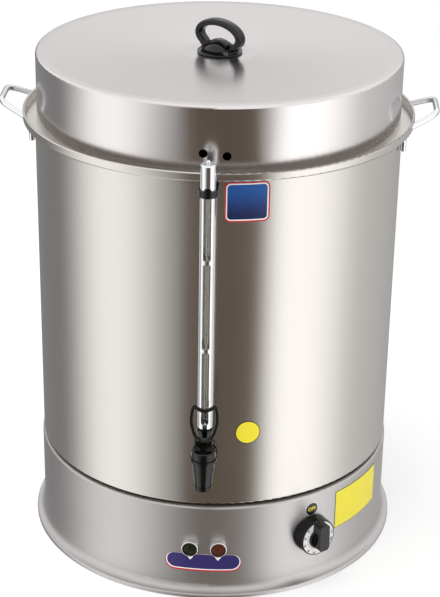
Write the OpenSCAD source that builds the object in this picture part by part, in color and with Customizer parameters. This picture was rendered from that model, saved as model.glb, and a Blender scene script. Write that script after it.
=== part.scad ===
// Free-standing electric hot water urn: double-walled stainless tank on a base skirt,
// lift-off lid, rod handles, front tap with sight gauge, thermostat and two pilot lamps.
// Millimetres, +Z up. The origin is on the rest face, on the tank's axis; the tap faces -Y.

/* [Tank] */
// Outside diameter of the outer jacket
body_d = 450; // [420:1:500]
// Sheet thickness of the jacket
jacket_t = 1; // [0.8:0.1:1.6]
// Height of the gutter ledge that the lid stands on
ledge_z = 553; // [500:1:620]
// Air gap between jacket and water vessel
wall_gap = 7; // [5:0.5:7.5]
// Sheet thickness of the water vessel
vessel_t = 1.2; // [1:0.1:1.6]
// Height of the vessel's mouth above the ledge
neck_h = 11; // [8:1:16]
// Radius of the vessel's bottom corner
vessel_bend = 9; // [6:1:14]
// Thickness of the vessel floor above the support ring
floor_lift = 11; // [8:1:20]

/* [Rim gutter] */
// Width of the gutter from the vessel to its lip
gutter_w = 22.7; // [18:0.1:28]
// Height of the rim's lip above the ledge
lip_h = 9.5; // [7:0.5:12]
// Radius of the rolled bead on the lip
bead_r = 1.5; // [1.2:0.1:2]
// Height of the weld tab under the ledge
rim_tab = 9; // [6:1:12]

/* [Base] */
// Height of the base skirt
base_h = 125; // [115:1:150]
// How far the skirt stands proud of the jacket
skirt_proud = 1.7; // [1:0.1:3]
// Sheet thickness of the skirt
skirt_t = 1.2; // [1:0.1:1.6]
// Radius of the skirt's top edge
skirt_edge = 3; // [2:0.5:4]
// Radius of the cove above the floor flange
cove_r = 8.9; // [6:0.1:12]
// Height of the floor flange
hem_h = 6; // [5:0.5:8]
// Radius of the hem's edges
hem_r = 2; // [1.5:0.1:2.4]
// Width of the flat that the urn rests on
rest_w = 7; // [5:0.5:12]
// Height of the shadow groove between jacket and skirt
groove_h = 4; // [3:0.5:6]
// Depth of that groove
groove_depth = 5; // [4:0.5:7]
// Height of the bottom cover above the rest face
cover_z = 16; // [15.5:0.5:24]
// Thickness of the bottom cover
cover_t = 1.2; // [1:0.1:2]
// Length of a vent slot in the cover
vent_len = 30; // [20:1:40]
// Width of a vent slot
vent_w = 4; // [3:0.5:5]
// Number of vent slots in the outer ring
vent_n = 24; // [12:1:30]

/* [Lid] */
// Play between the vessel's mouth and the lid's hem
lid_play = 2.6; // [1:0.1:4]
// Width of the hem turned in under the lid skirt
lid_hem_w = 3; // [2:0.5:4]
// Height of the lid
lid_h = 81; // [60:1:100]
// Sheet thickness of the lid
lid_t = 1; // [0.8:0.1:1.6]
// Radius of the lid's top edge
lid_edge = 3; // [2:0.5:5]
// How deep the lid's top is dished
lid_dish = 4; // [2:0.5:10]
// Width of the flat border round the dish
lid_border = 9; // [6:1:20]
// Radius of the flat seat under the knob
lid_seat_r = 45; // [36:1:70]
// Running gap between the lid and the ledge
lid_gap = 0.2; // [0.1:0.1:0.5]
// Diameter of the two steam vents
steam_d = 10; // [6:0.5:14]
// Bearing of the left steam vent, in degrees
steam_az_1 = -1.9; // [-8:0.1:0]
// Height of the left steam vent above the ledge
steam_z_1 = 26.3; // [16:0.1:34]
// Bearing of the right steam vent, in degrees
steam_az_2 = 4.95; // [3:0.1:10]
// Height of the right steam vent above the ledge
steam_z_2 = 23.5; // [16:0.1:34]

/* [Lid knob] */
// Diameter of the knob's rosette
rosette_d = 55; // [50:1:62]
// Thickness of the rosette
rosette_h = 5; // [4:0.5:7]
// Height of the dome in the middle of the rosette
dome_h = 10; // [8:0.5:13]
// Width of the rib over the dome, in line with the loop
rib_w = 10; // [8:0.5:12]
// Width of the loop over its outside
loop_w = 71; // [66:1:78]
// Height of the loop above the rosette
loop_h = 36; // [33:1:42]
// Thickness of the loop's strap
loop_a = 8.4; // [7:0.2:10]
// Width of the loop's strap
loop_b = 14; // [12:0.5:16]
// Distance between the loop's feet
loop_feet = 39; // [37:1:41]
// Turn of the loop about the upright axis, in degrees
loop_turn = -37; // [-60:1:60]
// Diameter of the two knob screws
knob_screw_d = 4; // [3:0.5:5]

/* [Handles] */
// Diameter of the handle rod
handle_rod = 7; // [6:0.5:8]
// Distance between the handle's ends on the gutter's lip
handle_w = 87; // [76:1:98]
// Distance between the handle's far corners
handle_grip = 58; // [52:1:72]
// How far the grip reaches out from the lip
handle_out = 25; // [20:0.5:35]
// Height of the grip above the handle's ends
handle_rise = 12.4; // [8:0.1:20]
// Bend radius of the grip corners
handle_bend = 18; // [12:1:20]

/* [Tap] */
// Height of the tap's shank
shank_z = 207; // [200:1:225]
// Diameter of the shank
shank_d = 20; // [18:0.5:22]
// Diameter of the threaded tail
tail_d = 16; // [14:0.5:17]
// Length of the tail inside the vessel
tail_len = 14; // [12:1:20]
// Diameter of the wall flange
flange_d = 28.6; // [26:0.2:32]
// Thickness of the wall flange
flange_t = 5; // [3:0.5:6]
// Thickness of the tap's gaskets
gasket_t = 1.6; // [1.2:0.1:2.5]
// Bore of the shank
shank_bore = 10; // [8:0.5:12]
// Distance of the tap's upright axis in front of the gauge's
tap_out = 25; // [24.5:0.5:35]
// Height of the spout's end below the shank's axis
spout_drop = 25; // [20:1:32]
// Diameter of the bottom of the spout
spout_d = 20.3; // [18:0.1:24]
// Diameter of the top of the tap body
tap_body_d = 27.7; // [26:0.1:29]
// Height of the tap body above the shank's axis
tap_body_rise = 13; // [11:1:17]
// Diameter of the valve chamber
chamber_d = 20; // [18:0.5:21]
// Height of the valve seat below the shank's axis
seat_drop = 8; // [7:0.5:10]
// Bore of the spout
spout_bore = 13; // [10:0.5:14]
// Diameter of the bonnet
bonnet_d = 29.3; // [28:0.1:31]
// Diameter of the bonnet's lower rim
bonnet_rim_d = 32; // [30:0.2:34]
// Height of the bonnet
bonnet_h = 13; // [12:0.5:15]
// Thickness of the bonnet's top
bonnet_top = 4; // [3:0.5:5]

/* [Tap lever] */
// Lift of the valve at full pull
valve_lift = 3.5; // [2:0.1:4]
// Full pull of the lever, in degrees
lever_pull = 40; // [30:1:45]
// Distance of the lever's pin above the bonnet
cam_r = 6; // [5.5:0.1:7]
// Gap between the cam and the bonnet
cam_gap = 0.3; // [0.2:0.05:0.5]
// Diameter of the lever's pin
lever_pin_d = 3; // [2.5:0.1:3.5]
// Width of the lever's neck and hub
hub_w = 21; // [18:0.5:22]
// Width of the lever's loop over its outside
lever_w = 34.4; // [33:0.2:38]
// Height of the lever's loop
lever_h = 45; // [40:1:48]
// Thickness of the lever's arm seen from the front
arm_a = 4.2; // [3.6:0.1:5]
// Depth of the lever's arm
arm_b = 6; // [5:0.1:7]
// How far the top of the lever leans back
lever_lean = 12; // [8:0.5:14]
// How far the lever's top bar bows forward
lever_bow = 8; // [6:0.5:10]

/* [Sight gauge] */
// Gap between the rim and the gauge
gauge_play = 1.3; // [0.5:0.1:4]
// Diameter of the gauge's guard
guard_d = 18; // [17:0.2:19]
// Wall of the guard
guard_t = 1; // [0.8:0.1:1.4]
// Height of the gauge socket above the shank's axis
socket_h = 42; // [40:1:50]
// How far the top of the guard lies under the gutter's ledge
guard_drop = 2; // [0:1:12]
// Width of the guard's windows
window_w = 9; // [7:0.5:10]
// Height of a bridge between two windows
bridge_h = 5; // [4:0.5:8]
// Height of the lowest window, up to its bridge
window_low = 103.5; // [80:0.5:110]
// Distance from one bridge to the next
window_pitch = 110; // [80:0.5:115]
// Diameter of the glass tube
glass_d = 10; // [9:0.1:11]
// Wall of the glass tube
glass_t = 1.4; // [1:0.1:1.8]
// Height of the gauge's cap
cap_h = 26.5; // [22:0.5:32]
// Height of the clip ring
clip_h = 8; // [7.5:0.5:12]
// Wall of the clip ring
clip_t = 1.6; // [1.4:0.1:2]
// How far the top of the clip lies under the gutter's ledge
clip_drop = 5; // [3:1:20]

/* [Control panel] */
// Height of the pilot lamps
lamp_z = 69; // [60:0.5:80]
// Distance between the two pilot lamps
lamp_pitch = 34.4; // [28:0.2:60]
// Diameter of the lamp's bezel
bezel_d = 21; // [18:0.1:22]
// Width of the bezel round the lens
bezel_w = 1.75; // [1.5:0.05:2.2]
// Height of the bezel
bezel_h = 8; // [5:0.5:10]
// Diameter of the lamp's barrel
barrel_d = 15; // [13:0.5:16]
// Length of the lamp's barrel behind the panel
barrel_len = 26; // [20:1:32]
// Bearing of the thermostat knob, in degrees
knob_az = 35.3; // [25:0.1:45]
// Height of the thermostat knob
knob_z = 71; // [60:0.5:80]
// Diameter of the thermostat knob
knob_d = 50; // [46:0.5:54]
// Depth of the knob's drum
knob_h = 15.5; // [10:0.5:18]
// Gap between the knob and the panel
knob_gap = 1.3; // [1:0.1:2]
// Height of the knob's grip above its drum
grip_h = 13; // [8:0.5:16]
// Width of the knob's grip
grip_w = 16; // [12:0.5:18]
// How far the grip reaches below the knob's centre
grip_low = 13; // [12:0.5:20]
// Width of the black border outside the dial ring
dial_border = 2.3; // [1:0.1:3]
// Width of the dial ring
dial_w = 8.7; // [6:0.1:10]
// Diameter of the control shaft
shaft_d = 6; // [5:0.5:7]
// Length of the control shaft behind the panel
shaft_reach = 20; // [16:1:24]
// Distance between the thermostat's screws
stat_pitch = 28; // [26:0.5:30]

/* [Heating] */
// Diameter of the heating element's tube
element_d = 8.5; // [6.5:0.5:10]
// Height of the heating element above the vessel floor
element_lift = 28; // [22:1:40]
// Half width of the heating element's loop
element_x = 110; // [90:1:125]
// Distance between the element's glands
gland_pitch = 50; // [40:1:60]
// Distance of the element's glands behind the axis
gland_y = 100; // [90:1:110]
// Thread diameter of the element's glands
neck_d = 14; // [12:0.5:16]
// Size across flats of the gland hexagons
gland_af = 22; // [20:1:24]

/* [Cord inlet] */
// Height of the cord inlet at the back
inlet_z = 48; // [40:1:60]
// Thread diameter of the inlet gland
inlet_d = 16; // [14:0.5:20]
// Bore for the cord
cord_bore = 8.2; // [6:0.1:9]

/* [Hidden] */
$fn = 96;
fine = 360;                            // facets of a cut that follows the tank's walls
eps = 0.01;                            // overshoot of a cut
fit_gap = 0.05;                        // running clearance on a radius
free_gap = 0.3;                        // clearance between pieces that don't bear on each other

body_r = body_d / 2;
jacket_in = body_r - jacket_t;
vessel_r = jacket_in - wall_gap;
vessel_in = vessel_r - vessel_t;
jacket_z = base_h + groove_h;
rim_t = vessel_t;
ledge_under = ledge_z - rim_t;
mouth_z = ledge_z + neck_h;
floor_z = base_h + floor_lift;
floor_top = floor_z + vessel_t;
rim_r = vessel_r + gutter_w;
lip_bend = 2.5;

skirt_r = body_r + skirt_proud;
skirt_in = skirt_r - skirt_t;
ring_r = body_r - groove_depth;        // outside of the support ring
ring_t = 1.2;
ring_drop = 24;                        // how far the support ring reaches into the skirt
ring_seat = 2.4;                       // width of the seat flange on the skirt
ring_shelf = 20;                       // width of the shelf under the vessel
hem_out = skirt_r + cove_r + hem_r;
cove_z = hem_h + cove_r;

cover_r = skirt_in - 0.7;
cover_top = cover_z + cover_t;
cover_screw_r = cover_r - 12;
cover_screw_n = 4;
cover_screw_az = 45;
bracket_w = 16;
bracket_t = 2;
bracket_h = 20;
m4_r = 2;
m4_head_r = 4;
m4_head_h = 2.6;

lid_r = vessel_r + lid_play + lid_hem_w;
lid_z = ledge_z + lid_gap;
lid_top = ledge_z + lid_h;
lid_seat_z = lid_top - lid_dish;
rosette_z = lid_seat_z;
loop_z = rosette_z + rosette_h;

handle_r = handle_rod / 2;
handle_z = (ledge_under + lip_bend + ledge_z + lip_h - bead_r) / 2;   // middle of the lip's flat

guard_r = guard_d / 2;
gauge_r = rim_r + gauge_play + guard_r;
tap_r = gauge_r + tap_out;
spout_z = shank_z - spout_drop;
tap_body_z = shank_z + tap_body_rise;
valve_seat_z = shank_z - seat_drop;
bonnet_z = tap_body_z + 1;
bonnet_top_z = bonnet_z + bonnet_h;
bonnet_roof = bonnet_top_z - bonnet_top;
tap_neck_r = chamber_d / 2 + 1.9;
bonnet_in = tap_neck_r + fit_gap;
pin_z = bonnet_top_z + cam_gap + cam_r;
cam_rate = valve_lift / (lever_pull * PI / 180);   // lift of the valve per radian of pull
stem_r = 3;
eye_w = 2 * stem_r;
eye_r = 3.5;
slot_w = eye_w + 2 * free_gap;
eye_roof = eye_r + 0.6;                // top of the eye's pocket in the lever, above the pin
foot_z = valve_seat_z + 2.5;
foot_r = 5;
foot_h = 1.8;
collar_z = valve_seat_z + 11;
stem_collar_r = 7;
stem_collar_h = 1.6;
cup_r = spout_bore / 2 + 1.8;
spring_z = collar_z + stem_collar_h;
spring_r = 5.2;
spring_wire = 0.6;
spring_turns = 5;

glass_r = glass_d / 2;
guard_z = shank_z + socket_h;
guard_top = ledge_z - guard_drop;
bridge_z_1 = guard_z + window_low;
bridge_z_2 = bridge_z_1 + window_pitch;
clip_z = ledge_z - clip_drop;
clip_screw_z = clip_z - clip_h / 2;
socket_r = guard_r + 0.75;             // mouth of the gauge socket
socket_bore = glass_r + 2.5;
socket_neck = glass_r + 1.3;
socket_cone = 13;                      // height of the flare under the socket's mouth
glass_z = guard_z - 6;
glass_top = guard_top + 18;

lamp_az = asin(lamp_pitch / 2 / skirt_r);
lens_d = bezel_d - 2 * bezel_w;
stat_face = skirt_in - 0.4;
stat_w = 34;
stat_h = 42;
stat_d = 30;
pocket_len = 62;
bulb_len = 64;
capillary_drop = 46;
knob_r = knob_d / 2;
knob_back = skirt_r + knob_gap;
knob_face = knob_back + knob_h;
dial_d = knob_d - 2 * dial_border;
dial_bore = dial_d - 2 * dial_w;
hub_r = dial_bore / 2 - 0.4;
dial_t = 0.6;

element_z = floor_top + element_lift;
pocket_x = -55;
pocket_y = 20;
cutout_x = 55;
cutout_y = 20;

steel = [0.72, 0.71, 0.69];
steel_dark = [0.55, 0.54, 0.52];
chrome = [0.86, 0.87, 0.88];
black = [0.06, 0.06, 0.065];
brass = [0.78, 0.62, 0.3];
rubber = [0.14, 0.14, 0.14];

// ---------------------------------------------------------------- shared geometry

// Places its children at a bearing from the tap, with +Z up and -Y outwards.
module bearing(az, r = 0, z = 0) {
    rotate([0, 0, az]) translate([0, -r, z]) children();
}

// Places its children at a bearing with their +Z pointing outwards and +Y up.
module outward(az, r, z) {
    bearing(az, r, z) rotate([90, 0, 0]) children();
}

// A quarter of a ring in the plane: outside radius r, wall t, quadrant q.
module quarter(r, t, q) {
    difference() {
        intersection() {
            circle(r);
            rotate(90 * q) square(r + 1);
        }
        circle(r - t);
    }
}

// A rectangle given by its two corners.
module bar(x0, y0, x1, y1) {
    translate([x0, y0]) square([x1 - x0, y1 - y0]);
}

module tube(r_out, r_in, h) {
    difference() {
        cylinder(r = r_out, h = h);
        translate([0, 0, -eps]) cylinder(r = r_in, h = h + 2 * eps);
    }
}

module hexagon(af, h) {
    cylinder(r = af / sqrt(3), h = h, $fn = 6);
}

// A stadium outline: length l over the ends, width w, lying along Y.
module slot(l, w) {
    for (s = [-1, 1]) translate([0, s * (l - w) / 2]) circle(w / 2);
    square([w, l - w], center = true);
}

function unit(v) = v / norm(v);

// A round rod of radius r along the points p, with the bend radii b at its inner points.
module bent_rod(p, b, r) {
    n = len(p);
    lap = 0.3;                         // each straight runs this far into its bends
    swell = 0.02;                      // a bend is this much stouter, so it swallows the lap
    cut = [for (i = [0 : n - 1]) i == 0 || i == n - 1 ? 0
        : let (u = unit(p[i - 1] - p[i]), w = unit(p[i + 1] - p[i]), a = acos(u * w))
            b[i - 1] / tan(a / 2)];
    for (i = [0 : n - 2]) {
        d = unit(p[i + 1] - p[i]);
        from = i == 0 ? 0 : cut[i] - lap;
        to = norm(p[i + 1] - p[i]) - (i == n - 2 ? 0 : cut[i + 1] - lap);
        translate(p[i] + d * from) rotate([0, acos(d.z), atan2(d.y, d.x)])
            cylinder(r = r, h = to - from);
    }
    for (i = [1 : n - 2]) {
        u = unit(p[i - 1] - p[i]);
        w = unit(p[i + 1] - p[i]);
        c = p[i] + unit(u + w) * norm([cut[i], b[i - 1]]);
        e = unit(p[i] + u * cut[i] - c);
        k = unit(cross(e, p[i] + w * cut[i] - c));
        f = cross(k, e);
        multmatrix([[e.x, f.x, k.x, c.x], [e.y, f.y, k.y, c.y], [e.z, f.z, k.z, c.z], [0, 0, 0, 1]])
            rotate_extrude(angle = 180 - acos(u * w)) translate([b[i - 1], 0]) circle(r + swell);
    }
}

function bulge(v, e) = sign(v) * pow(abs(v), e);

// An oval section, squarer for a smaller e, swept along points that lie close to the XZ plane.
module oval_sweep(p, a, b, sides = 12, closed = false, e = 1) {
    n = len(p);
    tangent = [for (i = [0 : n - 1]) unit(
        closed ? p[(i + 1) % n] - p[(i + n - 1) % n] : p[min(i + 1, n - 1)] - p[max(i - 1, 0)])];
    points = [for (i = [0 : n - 1], k = [0 : sides - 1])
        let (u = unit(cross([0, 1, 0], tangent[i])), v = cross(tangent[i], u), t = 360 * k / sides)
            p[i] + u * a / 2 * bulge(cos(t), e) + v * b / 2 * bulge(sin(t), e)];
    walls = [for (i = [0 : closed ? n - 1 : n - 2], k = [0 : sides - 1])
        let (j = (i + 1) % n, m = (k + 1) % sides)
            [i * sides + k, j * sides + k, j * sides + m, i * sides + m]];
    ends = closed ? [] : [[for (k = [0 : sides - 1]) k],
        [for (k = [sides - 1 : -1 : 0]) (n - 1) * sides + k]];
    polyhedron(points, concat(walls, ends), convexity = 6);
}

// ---------------------------------------------------------------- base

module base_skirt() {
    color(steel) difference() {
        rotate_extrude() {
            bar(ring_r + free_gap, base_h - skirt_t, skirt_r - skirt_edge, base_h);
            translate([skirt_r - skirt_edge, base_h - skirt_edge]) quarter(skirt_edge, skirt_t, 0);
            bar(skirt_in, cove_z, skirt_r, base_h - skirt_edge);
            translate([skirt_r + cove_r, cove_z]) quarter(cove_r + skirt_t, skirt_t, 2);
            translate([hem_out - hem_r, hem_h - hem_r]) quarter(hem_r, skirt_t, 0);
            bar(hem_out - skirt_t, hem_r, hem_out, hem_h - hem_r);
            translate([hem_out - hem_r, hem_r]) quarter(hem_r, skirt_t, 3);
            bar(hem_out - hem_r - rest_w, 0, hem_out - hem_r, skirt_t);
        }
        for (s = [-1, 1]) outward(s * lamp_az, skirt_in - 5, lamp_z)
            cylinder(r = barrel_d / 2 + 0.1, h = 10);
        outward(knob_az, skirt_in - 5, knob_z) {
            cylinder(r = shaft_d / 2 + 2, h = 10);
            for (s = [-1, 1]) translate([0, s * stat_pitch / 2, 0]) cylinder(r = m4_r + 0.1, h = 10);
        }
        outward(180, skirt_in - 5, inlet_z) cylinder(r = inlet_d / 2 + 0.1, h = 10);
    }
}

// Joins the vessel and the skirt; its seat flange stands in the shadow groove.
module support_ring() {
    color(steel_dark) rotate_extrude() {
        bar(ring_r - ring_t, base_h - ring_drop, ring_r, floor_z);
        bar(ring_r - ring_shelf, floor_z - ring_t, ring_r, floor_z);
        bar(ring_r - ring_t, base_h, ring_r + ring_seat, base_h + ring_t);
    }
}

module bottom_cover() {
    vent_out = cover_r - 30;
    vent_in = vent_out - vent_len - 14;
    color(steel_dark) difference() {
        translate([0, 0, cover_z]) cylinder(r = cover_r, h = cover_t);
        for (k = [0 : vent_n - 1]) rotate(360 * (k + 0.5) / vent_n)
            translate([0, vent_out - vent_len / 2, cover_z - 1])
                linear_extrude(cover_t + 2) slot(vent_len, vent_w);
        for (k = [0 : vent_n / 2 - 1]) rotate(720 * (k + 0.5) / vent_n)
            translate([0, vent_in - vent_len / 2, cover_z - 1])
                linear_extrude(cover_t + 2) slot(vent_len, vent_w);
        for (k = [0 : cover_screw_n - 1])
            bearing(cover_screw_az + 360 * k / cover_screw_n, cover_screw_r, cover_z - 1)
                cylinder(r = m4_r + 0.3, h = cover_t + 2);
    }
}

module cover_brackets() {
    leg_r = skirt_in - free_gap;
    color(steel_dark) for (k = [0 : cover_screw_n - 1])
        bearing(cover_screw_az + 360 * k / cover_screw_n) difference() {
            union() {
                translate([-bracket_w / 2, -leg_r, cover_top]) cube([bracket_w, bracket_t, bracket_h]);
                translate([-bracket_w / 2, -leg_r, cover_top]) cube([bracket_w, 20, bracket_t]);
            }
            translate([0, -cover_screw_r, cover_z]) cylinder(r = m4_r + fit_gap, h = 10);
        }
}

module cover_screws() {
    color(chrome) for (k = [0 : cover_screw_n - 1])
        bearing(cover_screw_az + 360 * k / cover_screw_n, cover_screw_r, cover_z) {
            cylinder(r = m4_r, h = 9);
            difference() {
                translate([0, 0, -m4_head_h]) cylinder(r1 = m4_head_r - 0.8, r2 = m4_head_r, h = m4_head_h);
                for (a = [0, 90]) rotate(a) translate([-2.4, -0.5, -m4_head_h - eps]) cube([4.8, 1, 1.3]);
            }
        }
}

// ---------------------------------------------------------------- tank

module water_vessel() {
    color(steel) difference() {
        rotate_extrude() {
            bar(vessel_in, floor_z + vessel_bend, vessel_r, mouth_z);
            translate([vessel_r - vessel_bend, floor_z + vessel_bend]) quarter(vessel_bend, vessel_t, 3);
            bar(0, floor_z, vessel_r - vessel_bend, floor_top);
            translate([vessel_r - bead_r, mouth_z]) circle(bead_r);
        }
        outward(0, vessel_in - 5, shank_z) cylinder(r = tail_d / 2 + 0.1, h = 10);
        for (s = [-1, 1]) translate([s * gland_pitch / 2, gland_y, floor_z - 1])
            cylinder(r = neck_d / 2 + 0.1, h = 4);
        translate([pocket_x, pocket_y, floor_z - 1]) cylinder(r = neck_d / 2 + 0.1, h = 4);
    }
}

module outer_jacket() {
    foot_bend = 2.5;
    color(steel) difference() {
        rotate_extrude() {
            bar(jacket_in, jacket_z + foot_bend, body_r, ledge_under);
            translate([body_r - foot_bend, jacket_z + foot_bend]) quarter(foot_bend, jacket_t, 3);
            bar(ring_r + free_gap, jacket_z, body_r - foot_bend, jacket_z + jacket_t);
        }
        outward(0, jacket_in - 5, shank_z) cylinder(r = tail_d / 2 + 0.1, h = 10);
        outward(0, jacket_in - 5, clip_screw_z) cylinder(r = m4_r + fit_gap, h = 10);
    }
}

// The gutter welded round the vessel's mouth, which catches the lid's drips.
module rim_gutter() {
    weld_r = vessel_r + 0.05;
    color(steel) rotate_extrude() {
        bar(weld_r, ledge_under - rim_tab, weld_r + rim_t, ledge_z);
        bar(weld_r, ledge_under, rim_r - lip_bend, ledge_z);
        translate([rim_r - lip_bend, ledge_under + lip_bend]) quarter(lip_bend, rim_t, 3);
        bar(rim_r - rim_t, ledge_under + lip_bend, rim_r, ledge_z + lip_h - bead_r);
        translate([rim_r - bead_r, ledge_z + lip_h - bead_r]) circle(bead_r);
    }
}

// A bent rod whose two straight legs end square on the lip of the gutter.
module handle() {
    seat = [handle_w / 2, -sqrt(rim_r * rim_r - handle_w * handle_w / 4), handle_z];
    corner = [handle_grip / 2, -rim_r - handle_out, handle_z + handle_rise];
    start = seat - unit(corner - seat) * 2 * handle_rod;
    color(chrome) difference() {
        bent_rod([start, corner, mirrored(corner), mirrored(start)], [handle_bend, handle_bend], handle_r);
        cylinder(r = rim_r + fit_gap, h = 2 * ledge_z, $fn = fine);
    }
}

function mirrored(p) = [-p.x, p.y, p.z];

module handle_left() rotate(-90) handle();

module handle_right() rotate(90) handle();

// ---------------------------------------------------------------- heating

module heating_element() {
    g = gland_pitch / 2;
    pin_low = floor_z - 24;
    color(steel_dark) {
        bent_rod([
            [-g, gland_y, pin_low + 6],
            [-g, gland_y, element_z],
            [-element_x, gland_y, element_z],
            [-element_x, -gland_y, element_z],
            [element_x, -gland_y, element_z],
            [element_x, gland_y, element_z],
            [g, gland_y, element_z],
            [g, gland_y, pin_low + 6]
        ], [14, 40, 60, 60, 40, 14], element_d / 2);
        for (s = [-1, 1]) translate([s * g, gland_y, pin_low - 6]) cylinder(r = 2, h = 12);
    }
}

// A threaded neck with its hexagon inside the vessel.
module neck(bore_r) {
    difference() {
        union() {
            translate([0, 0, floor_z - 16]) cylinder(r = neck_d / 2, h = 16 + vessel_t + gasket_t);
            translate([0, 0, floor_top + gasket_t]) hexagon(gland_af, 5);
        }
        translate([0, 0, floor_z - 20]) cylinder(r = bore_r, h = 60);
    }
}

module element_necks() {
    color(brass) for (s = [-1, 1]) translate([s * gland_pitch / 2, gland_y, 0])
        neck(element_d / 2 + fit_gap);
}

module element_gaskets() {
    color(rubber) for (s = [-1, 1]) translate([s * gland_pitch / 2, gland_y, floor_top])
        tube(gland_af / 2, neck_d / 2 + fit_gap, gasket_t);
}

module gland_nuts() {
    places = [[-gland_pitch / 2, gland_y], [gland_pitch / 2, gland_y], [pocket_x, pocket_y]];
    color(brass) for (at = places) translate([at.x, at.y, floor_z - 6]) difference() {
        hexagon(gland_af, 6);
        translate([0, 0, -1]) cylinder(r = neck_d / 2 + fit_gap, h = 8);
    }
}

// A closed tube that holds the thermostat's bulb in the water.
module bulb_pocket() {
    pocket_r = 5;
    pocket_top = floor_top + pocket_len;
    color(steel_dark) translate([pocket_x, pocket_y, 0]) {
        neck(pocket_r - 0.5);
        difference() {
            union() {
                translate([0, 0, floor_z - 14]) cylinder(r = pocket_r, h = pocket_top - floor_z + 14);
                translate([0, 0, pocket_top]) sphere(pocket_r);
            }
            translate([0, 0, floor_z - 16]) cylinder(r = 3.4, h = pocket_top - floor_z + 15);
        }
    }
}

// The bulb in its pocket and the capillary that leads to the thermostat.
module thermostat_bulb() {
    bulb_z = floor_z - 8;
    stat_in = bearing_point(knob_az, stat_face - stat_d - 10, knob_z);
    stat_end = bearing_point(knob_az, stat_face - stat_d, knob_z);
    color(brass) {
        translate([pocket_x, pocket_y, bulb_z]) cylinder(r = 3, h = bulb_len);
        bent_rod([
            [pocket_x, pocket_y, bulb_z],
            [pocket_x, pocket_y, floor_z - capillary_drop],
            [stat_in.x, stat_in.y, floor_z - capillary_drop],
            stat_in,
            stat_end
        ], [10, 10, 6], 1);
    }
}

function bearing_point(az, r, z) = [r * sin(az), -r * cos(az), z];

module thermostat_body() {
    color([0.9, 0.88, 0.82]) outward(knob_az, stat_face - stat_d, knob_z) {
        difference() {
            union() {
                translate([-stat_w / 2, -stat_h / 2, 2]) cube([stat_w, stat_h, stat_d - 6]);
                translate([-10, -stat_h / 2, stat_d - 4]) cube([20, stat_h, 4]);
                cylinder(r = 11, h = 2);
            }
            translate([0, 0, skirt_r - shaft_reach - free_gap - stat_face + stat_d])
                cylinder(r = shaft_d / 2 + fit_gap, h = stat_d);
            translate([0, 0, -1]) cylinder(r = 1 + fit_gap, h = 8);
            for (s = [-1, 1]) translate([0, s * stat_pitch / 2, stat_d - 8])
                cylinder(r = m4_r + fit_gap, h = 10);
        }
        for (s = [-1, 1], t = [-1, 1]) translate([s * 9 - 3.15, t * 14 - 0.4, -6]) cube([6.3, 0.8, 8]);
    }
}

module thermostat_screws() {
    color(chrome) outward(knob_az, skirt_r, knob_z)
        for (s = [-1, 1]) translate([0, s * stat_pitch / 2, 0]) {
            translate([0, 0, -8]) cylinder(r = m4_r, h = 8);
            difference() {
                cylinder(r = 3.5, h = 2);
                translate([-3, -0.5, 1.2]) cube([6, 1, 2]);
            }
        }
}

// The snap-disc switch under the vessel floor that cuts off a dry boil.
module dry_boil_cutout() {
    color([0.25, 0.2, 0.16]) translate([cutout_x, cutout_y, 0]) {
        translate([0, 0, floor_z - 3]) cylinder(r = 9, h = 3);
        translate([0, 0, floor_z - 13]) cylinder(r = 7.5, h = 10);
        for (s = [-1, 1]) translate([s * 4 - 0.4, -3.15, floor_z - 22]) cube([0.8, 6.3, 9]);
    }
}

module cutout_strap() {
    color(steel_dark) translate([cutout_x, cutout_y, floor_z - 4]) difference() {
        linear_extrude(1) difference() {
            union() {
                translate([-6, -21]) square([12, 42]);
                circle(11);
            }
            circle(7.8);
        }
        for (s = [-1, 1]) translate([0, s * 16, -1]) cylinder(r = m4_r + fit_gap, h = 3);
    }
}

module cutout_studs() {
    color(brass) for (s = [-1, 1]) translate([cutout_x, cutout_y + s * 16, 0]) {
        translate([0, 0, floor_z - 12]) cylinder(r = m4_r, h = 12);
        translate([0, 0, floor_z - 7.2]) hexagon(7, 3.2);
    }
}

// ---------------------------------------------------------------- pilot lamps

module lamp_bezel(az) {
    color(chrome) outward(az, skirt_r, lamp_z) rotate_extrude() {
        edge = 1.2;
        bar(lens_d / 2 + fit_gap, 0, bezel_d / 2, bezel_h - edge);
        bar(lens_d / 2 + fit_gap, bezel_h - edge, bezel_d / 2 - edge, bezel_h);
        translate([bezel_d / 2 - edge, bezel_h - edge]) quarter(edge, edge, 0);
    }
}

module lamp_lens(az, tint) {
    rise = 1.6;
    rim_h = bezel_h - rise - 2;
    ball = ((lens_d / 2) * (lens_d / 2) + rise * rise) / (2 * rise);
    color(tint) outward(az, skirt_r, lamp_z) {
        cylinder(r = lens_d / 2, h = rim_h);
        intersection() {
            translate([0, 0, rim_h + rise - ball]) sphere(ball);
            translate([0, 0, rim_h]) cylinder(r = lens_d / 2, h = rise);
        }
    }
}

module lamp_barrel(az) {
    color(black) outward(az, skirt_r - barrel_len, lamp_z) {
        cylinder(r = barrel_d / 2, h = barrel_len);
        for (s = [-1, 1]) translate([s * 4 - 0.4, -3.15, -9]) cube([0.8, 6.3, 9]);
    }
}

module lamp_nuts() {
    color(steel_dark) for (az = [-lamp_az, lamp_az]) outward(az, skirt_in - 3.5, lamp_z)
        difference() {
            hexagon(barrel_d + 5, 3);
            translate([0, 0, -1]) cylinder(r = barrel_d / 2 + fit_gap, h = 5);
        }
}

module green_bezel() lamp_bezel(-lamp_az);
module green_lens() lamp_lens(-lamp_az, [0.1, 0.28, 0.08]);
module green_barrel() lamp_barrel(-lamp_az);
module amber_bezel() lamp_bezel(lamp_az);
module amber_lens() lamp_lens(lamp_az, [0.55, 0.2, 0.06]);
module amber_barrel() lamp_barrel(lamp_az);

// ---------------------------------------------------------------- mains connections

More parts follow.
